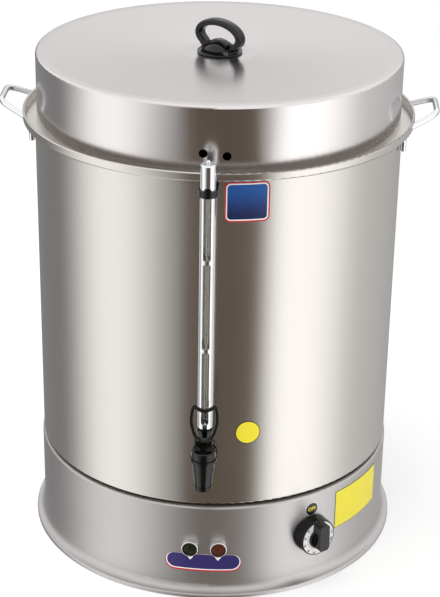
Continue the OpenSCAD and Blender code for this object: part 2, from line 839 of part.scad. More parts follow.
block_az = 150;
block_z = 40;
plate_w = 52;
plate_h = 16;
plate_d = 30;

module terminal_bracket() {
    leg_r = skirt_in - free_gap;
    color(steel_dark) bearing(block_az) {
        translate([-plate_w / 2, 1.3 - leg_r, block_z]) cube([plate_w, 2, plate_h]);
        translate([-plate_w / 2, 1.3 - leg_r, block_z - 2]) cube([plate_w, plate_d, 2]);
    }
}

module terminal_block() {
    color([0.92, 0.91, 0.87]) bearing(block_az) translate([0, -skirt_in + 20, block_z]) difference() {
        union() {
            translate([-22, -9, 0]) cube([44, 18, 9]);
            for (k = [-1 : 1]) translate([k * 14 - 5, -9, 0]) cube([10, 18, 15]);
        }
        for (k = [-1 : 1], s = [-1, 1]) {
            translate([k * 14, s * 4.5, 5]) cylinder(r = 2.4, h = 12);
            translate([k * 14, s * 10, 5]) rotate([90, 0, 0]) translate([0, 0, -4]) cylinder(r = 1.8, h = 8);
        }
    }
}

earth_az = 205;
earth_z = 60;

module earth_stud() {
    color(brass) outward(earth_az, skirt_in - 20, earth_z) cylinder(r = 2.5, h = 19.8);
}

module earth_nuts() {
    color(brass) outward(earth_az, skirt_in - 20, earth_z) for (z = [4, 12]) translate([0, 0, z])
        difference() {
            hexagon(8, 4);
            translate([0, 0, -1]) cylinder(r = 2.5 + fit_gap, h = 6);
        }
}

module inlet_gland() {
    color(black) outward(180, skirt_r, inlet_z) difference() {
        union() {
            translate([0, 0, -14]) cylinder(r = inlet_d / 2, h = 14);
            hexagon(inlet_d + 6, 6);
            translate([0, 0, 6]) cylinder(r = inlet_d / 2 - 1, h = 10);
        }
        translate([0, 0, -15]) cylinder(r = cord_bore / 2 + 0.9, h = 23);
        translate([0, 0, 8]) cylinder(r = cord_bore / 2 + 1.6, h = 10);
    }
}

module inlet_seal() {
    color(rubber) outward(180, skirt_r + 8, inlet_z) tube(cord_bore / 2 + 1.55, cord_bore / 2, 8);
}

module inlet_cap() {
    color(black) outward(180, skirt_r + 6, inlet_z) difference() {
        union() {
            hexagon(inlet_d + 5, 8);
            translate([0, 0, 8]) cylinder(r1 = inlet_d / 2 + 1.5, r2 = inlet_d / 2 - 1.5, h = 4);
        }
        translate([0, 0, -1]) cylinder(r = inlet_d / 2 - 1 + fit_gap, h = 11.05);
        translate([0, 0, 9]) cylinder(r = cord_bore / 2 + 0.7, h = 6);
    }
}

module inlet_locknut() {
    color(black) outward(180, skirt_in - 5.3, inlet_z) difference() {
        hexagon(inlet_d + 6, 4.5);
        translate([0, 0, -1]) cylinder(r = inlet_d / 2 + fit_gap, h = 8);
    }
}

// ---------------------------------------------------------------- tap

tail_start = vessel_in - tail_len;
flange_back = body_r + gasket_t;
shank_end = tap_r - 17.5;

// The shank between tank and tap, with the socket that the gauge stands in.
module tap_shank() {
    color(black) difference() {
        union() {
            outward(0, tail_start, shank_z) cylinder(r = tail_d / 2, h = flange_back - tail_start + 1);
            outward(0, flange_back, shank_z) cylinder(r = flange_d / 2, h = flange_t);
            outward(0, flange_back, shank_z) cylinder(r = shank_d / 2, h = shank_end - flange_back);
            translate([0, -gauge_r, shank_z]) cylinder(r = socket_neck, h = socket_h - socket_cone - 3);
            translate([0, -gauge_r, guard_z - socket_cone - 3])
                cylinder(r1 = socket_neck, r2 = socket_r, h = socket_cone);
            translate([0, -gauge_r, guard_z - 3]) cylinder(r = socket_r, h = 3);
        }
        outward(0, tail_start - 1, shank_z)
            cylinder(r = shank_bore / 2, h = shank_end - tail_start + 2);
        translate([0, -gauge_r, shank_z]) cylinder(r = glass_r - glass_t, h = 60);
        translate([0, -gauge_r, glass_z]) cylinder(r = socket_bore, h = 20);
    }
}

nut_face = vessel_in - 2.2;

// One gasket outside the jacket and one inside the vessel, each curved to its wall.
module tap_gaskets() {
    color(rubber) {
        difference() {
            outward(0, body_r - 2, shank_z)
                tube(flange_d / 2 - 0.5, tail_d / 2 + fit_gap, gasket_t + 2);
            cylinder(r = body_r + eps, h = 2 * shank_z, $fn = fine);
        }
        intersection() {
            outward(0, nut_face, shank_z) tube(flange_d / 2 - 1, tail_d / 2 + fit_gap, 4);
            cylinder(r = vessel_in - eps, h = 2 * shank_z, $fn = fine);
        }
    }
}

// Keeps the two walls apart where the tap clamps them.
module tap_spacer() {
    color(steel_dark) difference() {
        intersection() {
            outward(0, vessel_r - 3, shank_z) tube(12, tail_d / 2 + fit_gap, wall_gap + 5);
            cylinder(r = jacket_in - 0.1, h = 2 * shank_z, $fn = fine);
        }
        cylinder(r = vessel_r + 0.05, h = 2 * shank_z, $fn = fine);
    }
}

module tap_nut() {
    color(brass) outward(0, nut_face - 6, shank_z) difference() {
        hexagon(24, 6);
        translate([0, 0, -1]) cylinder(r = tail_d / 2 + fit_gap, h = 8);
    }
}

module tap_body() {
    band_h = 5;
    color(black) difference() {
        union() {
            translate([0, -tap_r, spout_z]) cylinder(r = spout_d / 2 + 0.5, h = band_h);
            translate([0, -tap_r, spout_z + band_h])
                cylinder(r1 = spout_d / 2, r2 = tap_body_d / 2, h = tap_body_z - spout_z - band_h - 2);
            translate([0, -tap_r, tap_body_z - 2]) cylinder(r = tap_body_d / 2 + 0.4, h = 2);
            translate([0, -tap_r, tap_body_z]) cylinder(r = tap_neck_r, h = 7);
            outward(0, shank_end, shank_z) cylinder(r = shank_d / 2, h = 12);
        }
        translate([0, -tap_r, spout_z - 1]) cylinder(r = spout_bore / 2, h = 40);
        translate([0, -tap_r, valve_seat_z]) cylinder(r = chamber_d / 2, h = 40);
        outward(0, shank_end - 1, shank_z) cylinder(r = shank_bore / 2, h = tap_r - shank_end);
    }
}

module tap_bonnet() {
    color(black) translate([0, -tap_r, bonnet_z]) difference() {
        union() {
            cylinder(r = bonnet_rim_d / 2, h = 2.5);
            translate([0, 0, 2.5]) cylinder(r = bonnet_d / 2, h = bonnet_h - 3.5);
            translate([0, 0, bonnet_h - 1]) cylinder(r1 = bonnet_d / 2, r2 = bonnet_d / 2 - 1, h = 1);
        }
        translate([0, 0, -1]) cylinder(r = bonnet_in, h = bonnet_h - bonnet_top + 1);
        translate([0, 0, -1]) cylinder(r = stem_r + fit_gap + 0.03, h = bonnet_h + 2);
    }
}

// The stem with its foot, its collar and the eye that the lever's pin runs in.
module valve_stem() {
    color([0.8, 0.79, 0.75]) translate([0, -tap_r, 0]) difference() {
        union() {
            translate([0, 0, foot_z]) cylinder(r = foot_r, h = foot_h);
            translate([0, 0, foot_z]) cylinder(r = stem_r, h = pin_z - eye_r - foot_z + 1);
            translate([0, 0, collar_z]) cylinder(r = stem_collar_r, h = stem_collar_h);
            translate([-eye_w / 2, 0, pin_z]) rotate([0, 90, 0]) cylinder(r = eye_r, h = eye_w);
            translate([-eye_w / 2, -stem_r, bonnet_top_z + 0.6])
                cube([eye_w, 2 * stem_r, pin_z - bonnet_top_z - 0.6]);
        }
        translate([-eye_w, 0, pin_z]) rotate([0, 90, 0])
            cylinder(r = lever_pin_d / 2 + fit_gap, h = 2 * eye_w);
    }
}

// The soft cup on the stem's foot that closes the seat.
module seat_cup() {
    lip_z = valve_seat_z + 0.2;
    color(rubber) translate([0, -tap_r, 0]) difference() {
        union() {
            translate([0, 0, lip_z]) cylinder(r1 = cup_r - 1.2, r2 = cup_r, h = 1.5);
            translate([0, 0, lip_z + 1.5]) cylinder(r = cup_r, h = 5);
            translate([0, 0, lip_z + 6.5])
                cylinder(r1 = cup_r, r2 = stem_r + 1.5, h = collar_z - lip_z - 6.6);
        }
        translate([0, 0, foot_z]) cylinder(r = foot_r + fit_gap, h = foot_h + fit_gap);
        translate([0, 0, foot_z]) cylinder(r = stem_r + fit_gap, h = collar_z);
    }
}

// The flat of a cam that lifts the stem at a steady rate: the involute of a circle.
function cam_outline(steps) = [for (i = [0 : steps])
    let (t = lever_pull * i / steps, h = cam_r + cam_rate * t * PI / 180)
        [-h * sin(t) - cam_rate * cos(t), -h * cos(t) + cam_rate * sin(t)]];

// The lever's loop from its foot over an ear to the middle of the top bar: shares of the
// half width, the height, the lean and the bow.
lever_marks = [
    [0, 0, 0, 0], [0.43, 0.045, 0.05, 0], [0.75, 0.21, 0.24, 0], [0.97, 0.47, 0.52, 0],
    [1, 0.68, 0.74, 0], [0.92, 0.88, 0.92, 0.02], [0.79, 0.985, 1, 0.12], [0.5, 0.965, 1, 0.6],
    [0, 0.93, 1, 1]
];

// A smooth curve through the marks, mirrored at both ends, with n steps for each mark.
function lever_half(n, s) = let (m = lever_marks, last = len(m) - 1)
    [for (i = [0 : n * last]) let (
        k = min(floor(i / n), last - 1), t = i / n - k, b = m[k], c = m[k + 1],
        a = k > 0 ? m[k - 1] : flip(m[1]), d = k < last - 1 ? m[k + 2] : flip(m[last - 1]),
        q = b + (c - a) * t / 2 + (a * 2 - b * 5 + c * 4 - d) * t * t / 2
            + (b * 3 - a - c * 3 + d) * t * t * t / 2)
        [s * q[0] * (lever_w - arm_a) / 2, q[2] * lever_lean - q[3] * lever_bow,
            q[1] * (lever_h - arm_a)]];

function flip(v) = [-v[0], v[1], v[2], v[3]];

// The neck seen from the front: straight sides, and the foot of the loop's opening.
function neck_outline(w, foot) = [
    [-w, 0], [w, 0], [w, foot + 2.2], [w - 1.6, foot + 3], [w * 0.56, foot + 0.7], [0, foot],
    [-w * 0.56, foot + 0.7], [1.6 - w, foot + 3], [-w, foot + 2.2]
];

module tap_lever() {
    opening = eye_roof + 1.6;          // lowest point of the loop's opening, above the pin
    right = lever_half(3, 1);
    left = lever_half(3, -1);
    path = concat(right, [for (i = [len(left) - 2 : -1 : 1]) left[i]]);
    neck_d = 12;
    edge = 2.5;
    recess_w = 10;
    recess = 1.2;
    color(black) translate([0, -tap_r, pin_z]) difference() {
        union() {
            translate([-hub_w / 2, 0, 0]) rotate([90, 0, 90]) linear_extrude(hub_w) {
                circle(cam_r - 0.3);
                polygon(concat([[0, 0], [0, -cam_r]], cam_outline(16), [[-4, 2]]));
            }
            intersection() {
                translate([0, neck_d / 2, 0]) rotate([90, 0, 0])
                    linear_extrude(neck_d) polygon(neck_outline(hub_w / 2, opening));
                linear_extrude(2 * opening) {
                    for (s = [-1, 1], t = [-1, 1])
                        translate([s * (hub_w / 2 - edge), t * (neck_d / 2 - edge)]) circle(edge);
                    square([hub_w - 2 * edge, neck_d], center = true);
                    square([hub_w, neck_d - 2 * edge], center = true);
                }
            }
            translate([0, 0, opening - arm_a / 2]) oval_sweep(path, arm_a, arm_b, 12, true);
        }
        translate([-recess_w / 2, -neck_d / 2 - 1, -cam_r]) cube([recess_w, 1 + recess, cam_r + opening - 1]);
        translate([-slot_w / 2, -30, -30]) cube([slot_w, 60, 30.8]);
        translate([-slot_w / 2, -eye_r - 0.4, 0]) cube([slot_w, 30, eye_roof]);
        translate([-hub_w, 0, 0]) rotate([0, 90, 0]) cylinder(r = lever_pin_d / 2 + eps, h = 2 * hub_w);
    }
}

module lever_pin() {
    color(chrome) translate([-hub_w / 2, -tap_r, pin_z]) rotate([0, 90, 0])
        cylinder(r = lever_pin_d / 2, h = hub_w);
}

// A coil of round wire, its ends pressed flat between the stem's collar and the bonnet.
module valve_spring() {
    sides = 6;
    per_turn = 14;
    steps = spring_turns * per_turn;
    z0 = spring_z + spring_wire;
    z1 = bonnet_roof - spring_wire;
    points = [for (i = [0 : steps], k = [0 : sides - 1])
        let (a = 360 * i / per_turn, t = 360 * k / sides, r = spring_r + spring_wire * cos(t))
            [r * cos(a), r * sin(a), z0 + (z1 - z0) * i / steps + spring_wire * sin(t)]];
    walls = [for (i = [0 : steps - 1], k = [0 : sides - 1])
        let (m = (k + 1) % sides)
            [i * sides + k, (i + 1) * sides + k, (i + 1) * sides + m, i * sides + m]];
    color(chrome) translate([0, -tap_r, 0]) polyhedron(points, concat(walls,
        [[for (k = [0 : sides - 1]) k]],
        [[for (k = [sides - 1 : -1 : 0]) steps * sides + k]]), convexity = 10);
}

// ---------------------------------------------------------------- sight gauge

module gauge_lower_seal() {
    color(rubber) translate([0, -gauge_r, glass_z])
        tube(socket_bore - fit_gap, glass_r + fit_gap, guard_z - glass_z - 0.2);
}

module gauge_glass() {
    color([0.8, 0.88, 0.9, 0.4]) translate([0, -gauge_r, glass_z])
        tube(glass_r, glass_r - glass_t, glass_top - glass_z);
}

module gauge_guard() {
    dome = 3;
    lows = [guard_z + 7, bridge_z_1 + bridge_h / 2, bridge_z_2 + bridge_h / 2];
    highs = [bridge_z_1 - bridge_h / 2, bridge_z_2 - bridge_h / 2, clip_z - clip_h];
    color(chrome) translate([0, -gauge_r, 0]) difference() {
        rotate_extrude() {
            bar(guard_r - guard_t, guard_z + dome, guard_r, guard_top);
            translate([guard_r - dome, guard_z + dome]) quarter(dome, guard_t, 3);
            bar(glass_r + 0.2, guard_z, guard_r - dome, guard_z + guard_t);
        }
        for (k = [0 : 2]) translate([0, 0, (lows[k] + highs[k]) / 2]) rotate([90, 0, 0])
            translate([0, 0, -guard_r - 1]) linear_extrude(guard_d + 2)
                guard_window(highs[k] - lows[k], window_w, k == 0);
    }
}

// A window of the guard: square at the bridges, round at the foot of the lowest.
module guard_window(l, w, round_foot) {
    if (round_foot) {
        slot(l, w);
        translate([0, l / 4]) square([w, l / 2], center = true);
    } else square([w, l], center = true);
}

module gauge_upper_seal() {
    color(rubber) translate([0, -gauge_r, guard_top + 4])
        tube(guard_r - guard_t - 1, glass_r + fit_gap, 6);
}

module gauge_cap() {
    nub_h = 4.5;
    color(chrome) translate([0, -gauge_r, 0]) difference() {
        union() {
            translate([0, 0, guard_top - 3]) cylinder(r = guard_r - guard_t - fit_gap, h = 5);
            translate([0, 0, guard_top]) cylinder(r = guard_r, h = cap_h - 1.5);
            translate([0, 0, guard_top + cap_h - 1.5]) cylinder(r1 = guard_r, r2 = guard_r - 1.5, h = 1.5);
            translate([0, 0, guard_top + cap_h]) cylinder(r = 2.6, h = nub_h - 2);
            translate([0, 0, guard_top + cap_h + nub_h - 2.6]) sphere(2.6);
        }
        translate([0, 0, guard_top - 4]) cylinder(r = glass_r + 0.3, h = 8.1);
        translate([0, 0, guard_top + 4]) cylinder(r = guard_r - guard_t - 1 + fit_gap, h = 6);
        translate([0, 0, guard_top + 9.9]) cylinder(r = glass_r + 0.3, h = 9);
    }
}

// The ring round the guard and the two arms that hold it to the jacket.
module gauge_clip() {
    clip_low = clip_z - clip_h;
    ring_out = guard_r + 0.1 + clip_t;
    ear_h = 6;
    color(black) difference() {
        union() {
            translate([0, -gauge_r, clip_low]) cylinder(r = ring_out, h = clip_h);
            intersection() {
                translate([0, -gauge_r, clip_low]) cylinder(r = ring_out, h = clip_h + ear_h);
                translate([0, -gauge_r, clip_z]) rotate([90, 0, 0]) cylinder(r = 4.4, h = 20);
            }
            for (s = [-1, 1]) translate([s * (ring_out - 1.5) - 1.5, -gauge_r, clip_low + 1])
                cube([3, gauge_r - body_r - 3, clip_h - 2]);
            translate([-ring_out, -body_r - 4, clip_low - 1]) cube([2 * ring_out, 6, clip_h + 2]);
        }
        translate([0, -gauge_r, clip_low - 1]) cylinder(r = guard_r + 0.1, h = clip_h + ear_h + 2);
        cylinder(r = body_r + eps, h = 2 * ledge_z, $fn = fine);
        outward(0, jacket_in, clip_screw_z) cylinder(r = m4_r + fit_gap, h = 20);
    }
}

// Holds the clip's foot to the jacket, behind the gauge.
module clip_screw() {
    color(chrome) outward(0, body_r + 4, clip_screw_z) {
        translate([0, 0, -8]) cylinder(r = m4_r, h = 8);
        difference() {
            cylinder(r = 3.5, h = 2);
            translate([-3, -0.5, 1.2]) cube([6, 1, 2]);
        }
    }
}

// ---------------------------------------------------------------- lid

module lid_shell() {
    outer = lid_r;
    drop = lid_dish;
    slope_out = outer - lid_edge - lid_border;
    color(steel) difference() {
        rotate_extrude() {
            bar(outer - lid_t, lid_z, outer, lid_top - lid_edge);
            bar(outer - lid_hem_w, lid_z, outer, lid_z + lid_t);
            translate([outer - lid_edge, lid_top - lid_edge]) quarter(lid_edge, lid_t, 0);
            bar(slope_out, lid_top - lid_t, outer - lid_edge, lid_top);
            polygon([[lid_seat_r, lid_seat_z], [lid_seat_r, lid_seat_z - lid_t],
                [slope_out, lid_top - lid_t], [slope_out, lid_top]]);
            bar(0, lid_seat_z - lid_t, lid_seat_r, lid_seat_z);
        }
        for (vent = [[steam_az_1, steam_z_1], [steam_az_2, steam_z_2]])
            outward(vent[0], lid_r - 10, ledge_z + vent[1]) cylinder(r = steam_d / 2, h = 20);
        rotate(loop_turn) for (s = [-1, 1]) translate([s * loop_feet / 2, 0, lid_seat_z - 5])
            cylinder(r = knob_screw_d / 2 + 0.2, h = 10);
    }
}

module knob_rosette() {
    dome_r = 19;
    rib_rise = 1.5;
    pad_a = loop_a + 1.2;
    pad_b = loop_b + 1.2;
    rib_l = loop_feet - pad_a - 1;
    ball = (dome_r * dome_r + dome_h * dome_h) / (2 * dome_h);
    color(black) difference() {
        union() {
            translate([0, 0, rosette_z]) cylinder(r = rosette_d / 2 - 0.8, h = 1);
            translate([0, 0, rosette_z + 1]) cylinder(r = rosette_d / 2, h = 1.5);
            translate([0, 0, rosette_z + 2.5])
                cylinder(r1 = rosette_d / 2, r2 = dome_r + 0.4, h = rosette_h - 2.5);
            rotate(loop_turn) for (s = [-1, 1])
                translate([s * loop_feet / 2 - pad_a / 2, -pad_b / 2, rosette_z + 1])
                    cube([pad_a, pad_b, rosette_h - 1]);
            translate([0, 0, loop_z]) rotate(loop_turn) difference() {
                union() {
                    dome_cap(ball, 0);
                    intersection() {
                        dome_cap(ball, rib_rise);
                        translate([-rib_l / 2, -rib_w / 2, -1]) cube([rib_l, rib_w, 2 * dome_h]);
                    }
                }
                for (s = [0, 1]) rotate(180 * s) translate([rib_l / 2, -pad_b / 2, 0])
                    cube([dome_r, pad_b, 2 * dome_h]);
            }
        }
        rotate(loop_turn) for (s = [-1, 1]) translate([s * loop_feet / 2, 0, rosette_z - 1])
            cylinder(r = knob_screw_d / 2 + 0.2, h = rosette_h + 2);
    }
}

// The top of a ball that rises dome_h above its base plane, grown by a rise.
module dome_cap(ball, rise) {
    intersection() {
        translate([0, 0, dome_h - ball]) sphere(ball + rise);
        translate([0, 0, -1]) cylinder(r = ball, h = 2 * dome_h);
    }
}

// Centre line of the loop: an oval whose lower ends turn in to the feet.
function loop_path(steps) = let (
    w = (loop_w - loop_a) / 2,
    top = loop_h - loop_a / 2,
    mid = 0.42 * loop_h,
    turn = 125
) concat(
    [[-loop_feet / 2, 0, 0], [-loop_feet / 2 - 1.2, 0, 1.4]],
    [for (i = [0 : steps]) let (t = -turn + 2 * turn * i / steps)
        [w * sin(t), 0, mid + (top - mid) * cos(t) * (cos(t) > 0 ? 1 : 0.9)]],
    [[loop_feet / 2 + 1.2, 0, 1.4], [loop_feet / 2, 0, 0]]
);

module knob_loop() {
    color(black) rotate(loop_turn) translate([0, 0, loop_z]) difference() {
        intersection() {
            oval_sweep(loop_path(30), loop_a, loop_b, 14, e = 0.6);
            translate([-loop_w, -loop_w, 0]) cube([2 * loop_w, 2 * loop_w, 2 * loop_h]);
        }
        for (s = [-1, 1]) translate([s * loop_feet / 2, 0, -1]) cylinder(r = knob_screw_d / 2, h = 6);
    }
}

module knob_screws() {
    color(chrome) rotate(loop_turn) for (s = [-1, 1])
        translate([s * loop_feet / 2, 0, lid_seat_z - lid_t]) {
            cylinder(r = knob_screw_d / 2 - fit_gap, h = lid_t + rosette_h + 4.5);
            translate([0, 0, -1]) cylinder(r = 5, h = 1);
            translate([0, 0, -3.4]) difference() {
                cylinder(r = 3.6, h = 2.4);
                translate([-3, -0.5, -1]) cube([6, 1, 2]);
            }
        }
}

// ---------------------------------------------------------------- thermostat knob

module dial_knob() {
    hollow = 4.5;
    groove = 0.7;
    color(black) outward(knob_az, knob_back, knob_z) {
        difference() {
            union() {
                cylinder(r1 = knob_r + 0.3, r2 = knob_r - 0.6, h = knob_h - 1);
                translate([0, 0, knob_h - 1]) cylinder(r1 = knob_r - 0.6, r2 = knob_r - 1.2, h = 1);
                translate([0, 0, knob_h - 1]) cylinder(r = hub_r, h = 4);
                translate([0, 0, knob_h - 1]) linear_extrude(grip_h + 1)
                    grip_outline();
                translate([0, knob_r - 0.8, knob_h / 2]) cylinder(r = 1.4, h = knob_h / 2 + 1);
            }
            translate([0, 0, -1]) cylinder(r = knob_r - 3, h = hollow + 1);
            translate([0, 0, knob_h - groove]) difference() {
                cylinder(r = dial_d / 2 + fit_gap, h = 2);
                translate([0, 0, -1]) cylinder(r = dial_bore / 2 - fit_gap, h = 4);
                translate([0, 0, -1]) linear_extrude(4) grip_outline(free_gap);
            }
        }
        difference() {
            cylinder(r = 6, h = hollow + 1);
            translate([0, 0, -1]) cylinder(r = shaft_d / 2, h = hollow + 3);
        }
        translate([0, 0, -knob_gap - shaft_reach])
            cylinder(r = shaft_d / 2, h = shaft_reach + knob_gap + hollow + 1);
    }
}

// The finger grip: a blade that runs from the rim at the pointer across the hub.
module grip_outline(grow = 0) {
    w = grip_w / 2 + grow;
    polygon([
        [w, 4 - grip_low], [w - 0.5, knob_r - 4], [w - 3, knob_r - 2], [0, knob_r - 1.4 + grow],
        [3 - w, knob_r - 2], [0.5 - w, knob_r - 4], [-w, 4 - grip_low],
        [3 - w, 0.6 - grip_low - grow], [0, -grip_low - grow], [w - 3, 0.6 - grip_low - grow]
    ]);
}

module dial_ring() {
    color([0.93, 0.93, 0.92]) outward(knob_az, knob_back + knob_h - 0.7, knob_z)
        difference() {
            tube(dial_d / 2, dial_bore / 2, dial_t);
            translate([0, 0, -1]) linear_extrude(3) grip_outline(2 * free_gap);
        }
}

// ---------------------------------------------------------------- assembly

base_skirt();
support_ring();
bottom_cover();
cover_brackets();
cover_screws();
water_vessel();
outer_jacket();
rim_gutter();
handle_left();
handle_right();
heating_element();
element_necks();
element_gaskets();
gland_nuts();
bulb_pocket();
thermostat_bulb();
thermostat_body();
thermostat_screws();
dry_boil_cutout();
cutout_strap();
cutout_studs();
green_bezel();
green_lens();
green_barrel();
amber_bezel();
amber_lens();
amber_barrel();
lamp_nuts();
terminal_bracket();
terminal_block();
earth_stud();
earth_nuts();
inlet_gland();
inlet_cap();
inlet_seal();
inlet_locknut();
tap_shank();
tap_gaskets();
tap_spacer();
tap_nut();
tap_body();
tap_bonnet();
gauge_lower_seal();
gauge_glass();
gauge_guard();
gauge_upper_seal();
gauge_cap();
gauge_clip();
clip_screw();
lid_shell();
knob_rosette();
knob_loop();
knob_screws();
dial_knob();
dial_ring();
valve_stem();
seat_cup();
tap_lever();
lever_pin();
valve_spring();
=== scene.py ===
"""Dresses the hot water urn: finishes for its CAD pieces, modelled trim, labels, camera and light.

Metres, +Z up, in the frame of the CAD model: the tank's axis is the Z axis, its rest face lies
at Z = 0 and the tap faces -Y. A bearing is an angle round that axis, counted from the tap (-Y)
towards +X.
"""
import logging
import math
from dataclasses import dataclass, replace
from enum import Enum
from typing import Sequence

import bmesh
import bpy
from mathutils import Matrix, Vector


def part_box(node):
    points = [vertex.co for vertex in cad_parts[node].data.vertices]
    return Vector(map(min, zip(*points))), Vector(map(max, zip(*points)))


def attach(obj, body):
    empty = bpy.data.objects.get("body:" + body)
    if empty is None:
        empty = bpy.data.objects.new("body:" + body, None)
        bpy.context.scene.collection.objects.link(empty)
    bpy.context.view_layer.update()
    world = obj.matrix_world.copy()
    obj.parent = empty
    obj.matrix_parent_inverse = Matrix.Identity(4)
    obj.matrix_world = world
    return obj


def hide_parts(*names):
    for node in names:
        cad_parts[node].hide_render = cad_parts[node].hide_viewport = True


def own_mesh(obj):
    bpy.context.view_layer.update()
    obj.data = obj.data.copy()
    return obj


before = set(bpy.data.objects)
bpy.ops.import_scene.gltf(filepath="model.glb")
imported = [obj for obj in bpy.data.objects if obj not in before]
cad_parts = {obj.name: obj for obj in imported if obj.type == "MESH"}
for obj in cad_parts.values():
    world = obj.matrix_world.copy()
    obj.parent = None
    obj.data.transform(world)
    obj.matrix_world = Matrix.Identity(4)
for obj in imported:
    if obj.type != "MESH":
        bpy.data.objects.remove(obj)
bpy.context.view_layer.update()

logging.basicConfig(level=logging.INFO, format="%(message)s")
log = logging.getLogger("urn")

MM = 0.001
HAIR = 0.02 * MM  # keeps two faces out of one plane
WELD = 1e-7  # corners of a new mesh that are nearer than this become one
CAD_WELD = 1e-6  # the same for a copy of a CAD mesh
SHARP = math.radians(40)  # edges of turned pieces that bend more than this stay sharp
TURNED_SIDES = 32  # facets round a turned piece
FLOOR_SIDES = 64
NOISE_SPAN = (0.3, 0.7)  # where nearly all of a noise texture lies
TONE_SPAN = (0.25, 0.75)  # where the tone of brushed steel follows it
WAVE_PITCH = 0.314  # distance between two rings of a wave texture at scale 1
WHITE = "FFFFFF"

PLATE_ROWS = 6  # faces up a plate
COLUMN_STEP = 4 * MM  # distance between columns where a plate's edge is straight
CORNER_STEPS = 12  # columns across a round corner
POINTER_STEPS = 8  # columns across each flank of a pointer
INK_DEPTH = 0.03 * MM  # how far lettering stands off its middle plane, both ways
BOLD_SHARE = 0.03  # how much bolder lettering is than the font's own, as a share of its size

Point = tuple[float, float, float]
Column = tuple[float, float, float]  # distance across, lowest and highest point
Colour = tuple[float, float, float, float]
Mesh = bpy.types.Mesh
Object = bpy.types.Object
Tree = bpy.types.NodeTree
Socket = bpy.types.NodeSocket
Level = float | Socket
Links = dict[str | int, object]


# ---------------------------------------- colours and shader nodes


def linear(code: str) -> Colour:
    """Turns an sRGB hex colour into the linear colour that a shader takes.

    Args:
        code: Six hex digits.

    Returns:
        Linear red, green, blue and an alpha of 1.
    """
    channels = [int(code[i:i + 2], 16) / 255 for i in (0, 2, 4)]
    curve = [c / 12.92 if c <= 0.04045 else ((c + 0.055) / 1.055) ** 2.4 for c in channels]
    return (curve[0], curve[1], curve[2], 1.0)


def add_node(
    tree: Tree, kind: str, links: Links | None = None, **settings: object,
) -> bpy.types.Node:
    """Adds a node with its settings, socket values and incoming links.

    Args:
        tree: The tree that gets the node.
        kind: The node's type, such as ShaderNodeMath.
        links: Input name or index to a value, or to the output socket that feeds it.
        **settings: Properties of the node itself, such as operation.

    Returns:
        The new node.
    """
    node = tree.nodes.new(kind)
    for name, value in settings.items():
        setattr(node, name, value)
    for key, value in (links or {}).items():
        socket = node.inputs[key]
        if isinstance(value, Socket):
            tree.links.new(value, socket)
        else:
            socket.default_value = value
    return node


def maths(tree: Tree, operation: str, *values: Level) -> Socket:
    """Returns what a maths operation makes of one or two values."""
    node = add_node(tree, "ShaderNodeMath", dict(enumerate(values)), operation=operation)
    return node.outputs[0]


def ranged(
    tree: Tree, value: Socket, target: tuple[float, float],
    source: tuple[float, float] = (0.0, 1.0), ease: bool = False,
) -> Socket:
    """Maps a value from one range to another and holds it there.

    Args:
        tree: The tree.
        value: The value.
        target: What the two ends of its range become.
        source: The two ends of its range.
        ease: Whether it eases in and out.

    Returns:
        The mapped value.
    """
    links = dict(enumerate((value, *source, *target)))
    kind = "SMOOTHSTEP" if ease else "LINEAR"
    return add_node(tree, "ShaderNodeMapRange", links, interpolation_type=kind).outputs[0]


def mixed_level(tree: Tree, share: Level, a: Level, b: Level) -> Socket:
    """Returns a level that runs from a to b as the share goes from 0 to 1."""
    links = {0: share, 2: a, 3: b}
    return add_node(tree, "ShaderNodeMix", links, data_type="FLOAT").outputs[0]


def mixed_colour(
    tree: Tree, share: Level, a: Colour | Socket, b: Colour | Socket, blend: str = "MIX",
) -> Socket:
    """Returns a colour that runs from a to b, or to their blend, as the share goes from 0 to 1."""
    links = {0: share, 6: a, 7: b}
    return add_node(tree, "ShaderNodeMix", links, data_type="RGBA", blend_type=blend).outputs[2]


def noise(tree: Tree, place: Socket, scale: float, detail: float = 2.0) -> Socket:
    """Returns a noise texture's value at a place."""
    links = {0: place, "Scale": scale, "Detail": detail}
    return add_node(tree, "ShaderNodeTexNoise", links).outputs[0]


def bump(tree: Tree, height: Socket, strength: float, distance: float) -> Socket:
    """Returns a normal that a height moves."""
    links = {"Strength": strength, "Distance": distance, "Height": height}
    return add_node(tree, "ShaderNodeBump", links).outputs[0]


def object_place(tree: Tree) -> Socket:
    """Returns the shaded point in the object's own metres."""
    return add_node(tree, "ShaderNodeTexCoord").outputs["Object"]


def empty_tree(owner: bpy.types.Material | bpy.types.World) -> Tree:
    """Switches a material or a world to nodes and empties its tree.

    Args:
        owner: The material or the world.

    Returns:
        Its tree.
    """
    owner.use_nodes = True
    owner.node_tree.nodes.clear()
    return owner.node_tree


# ---------------------------------------- finishes


@dataclass(frozen=True)
class Surface:
    """A finish that a Principled shader makes, from the inputs that each kind gives it."""

    name: str

    def inputs(self, tree: Tree) -> Links:
        """Returns the shader's inputs, by name."""
        raise NotImplementedError

    def build(self) -> bpy.types.Material:
        """Makes the material.

        Returns:
            The material, with one shader that has this kind's inputs.
        """
        material = bpy.data.materials.new(self.name)
        tree = empty_tree(material)
        shader = add_node(tree, "ShaderNodeBsdfPrincipled", self.inputs(tree))
        add_node(tree, "ShaderNodeOutputMaterial", {"Surface": shader.outputs[0]})
        return material


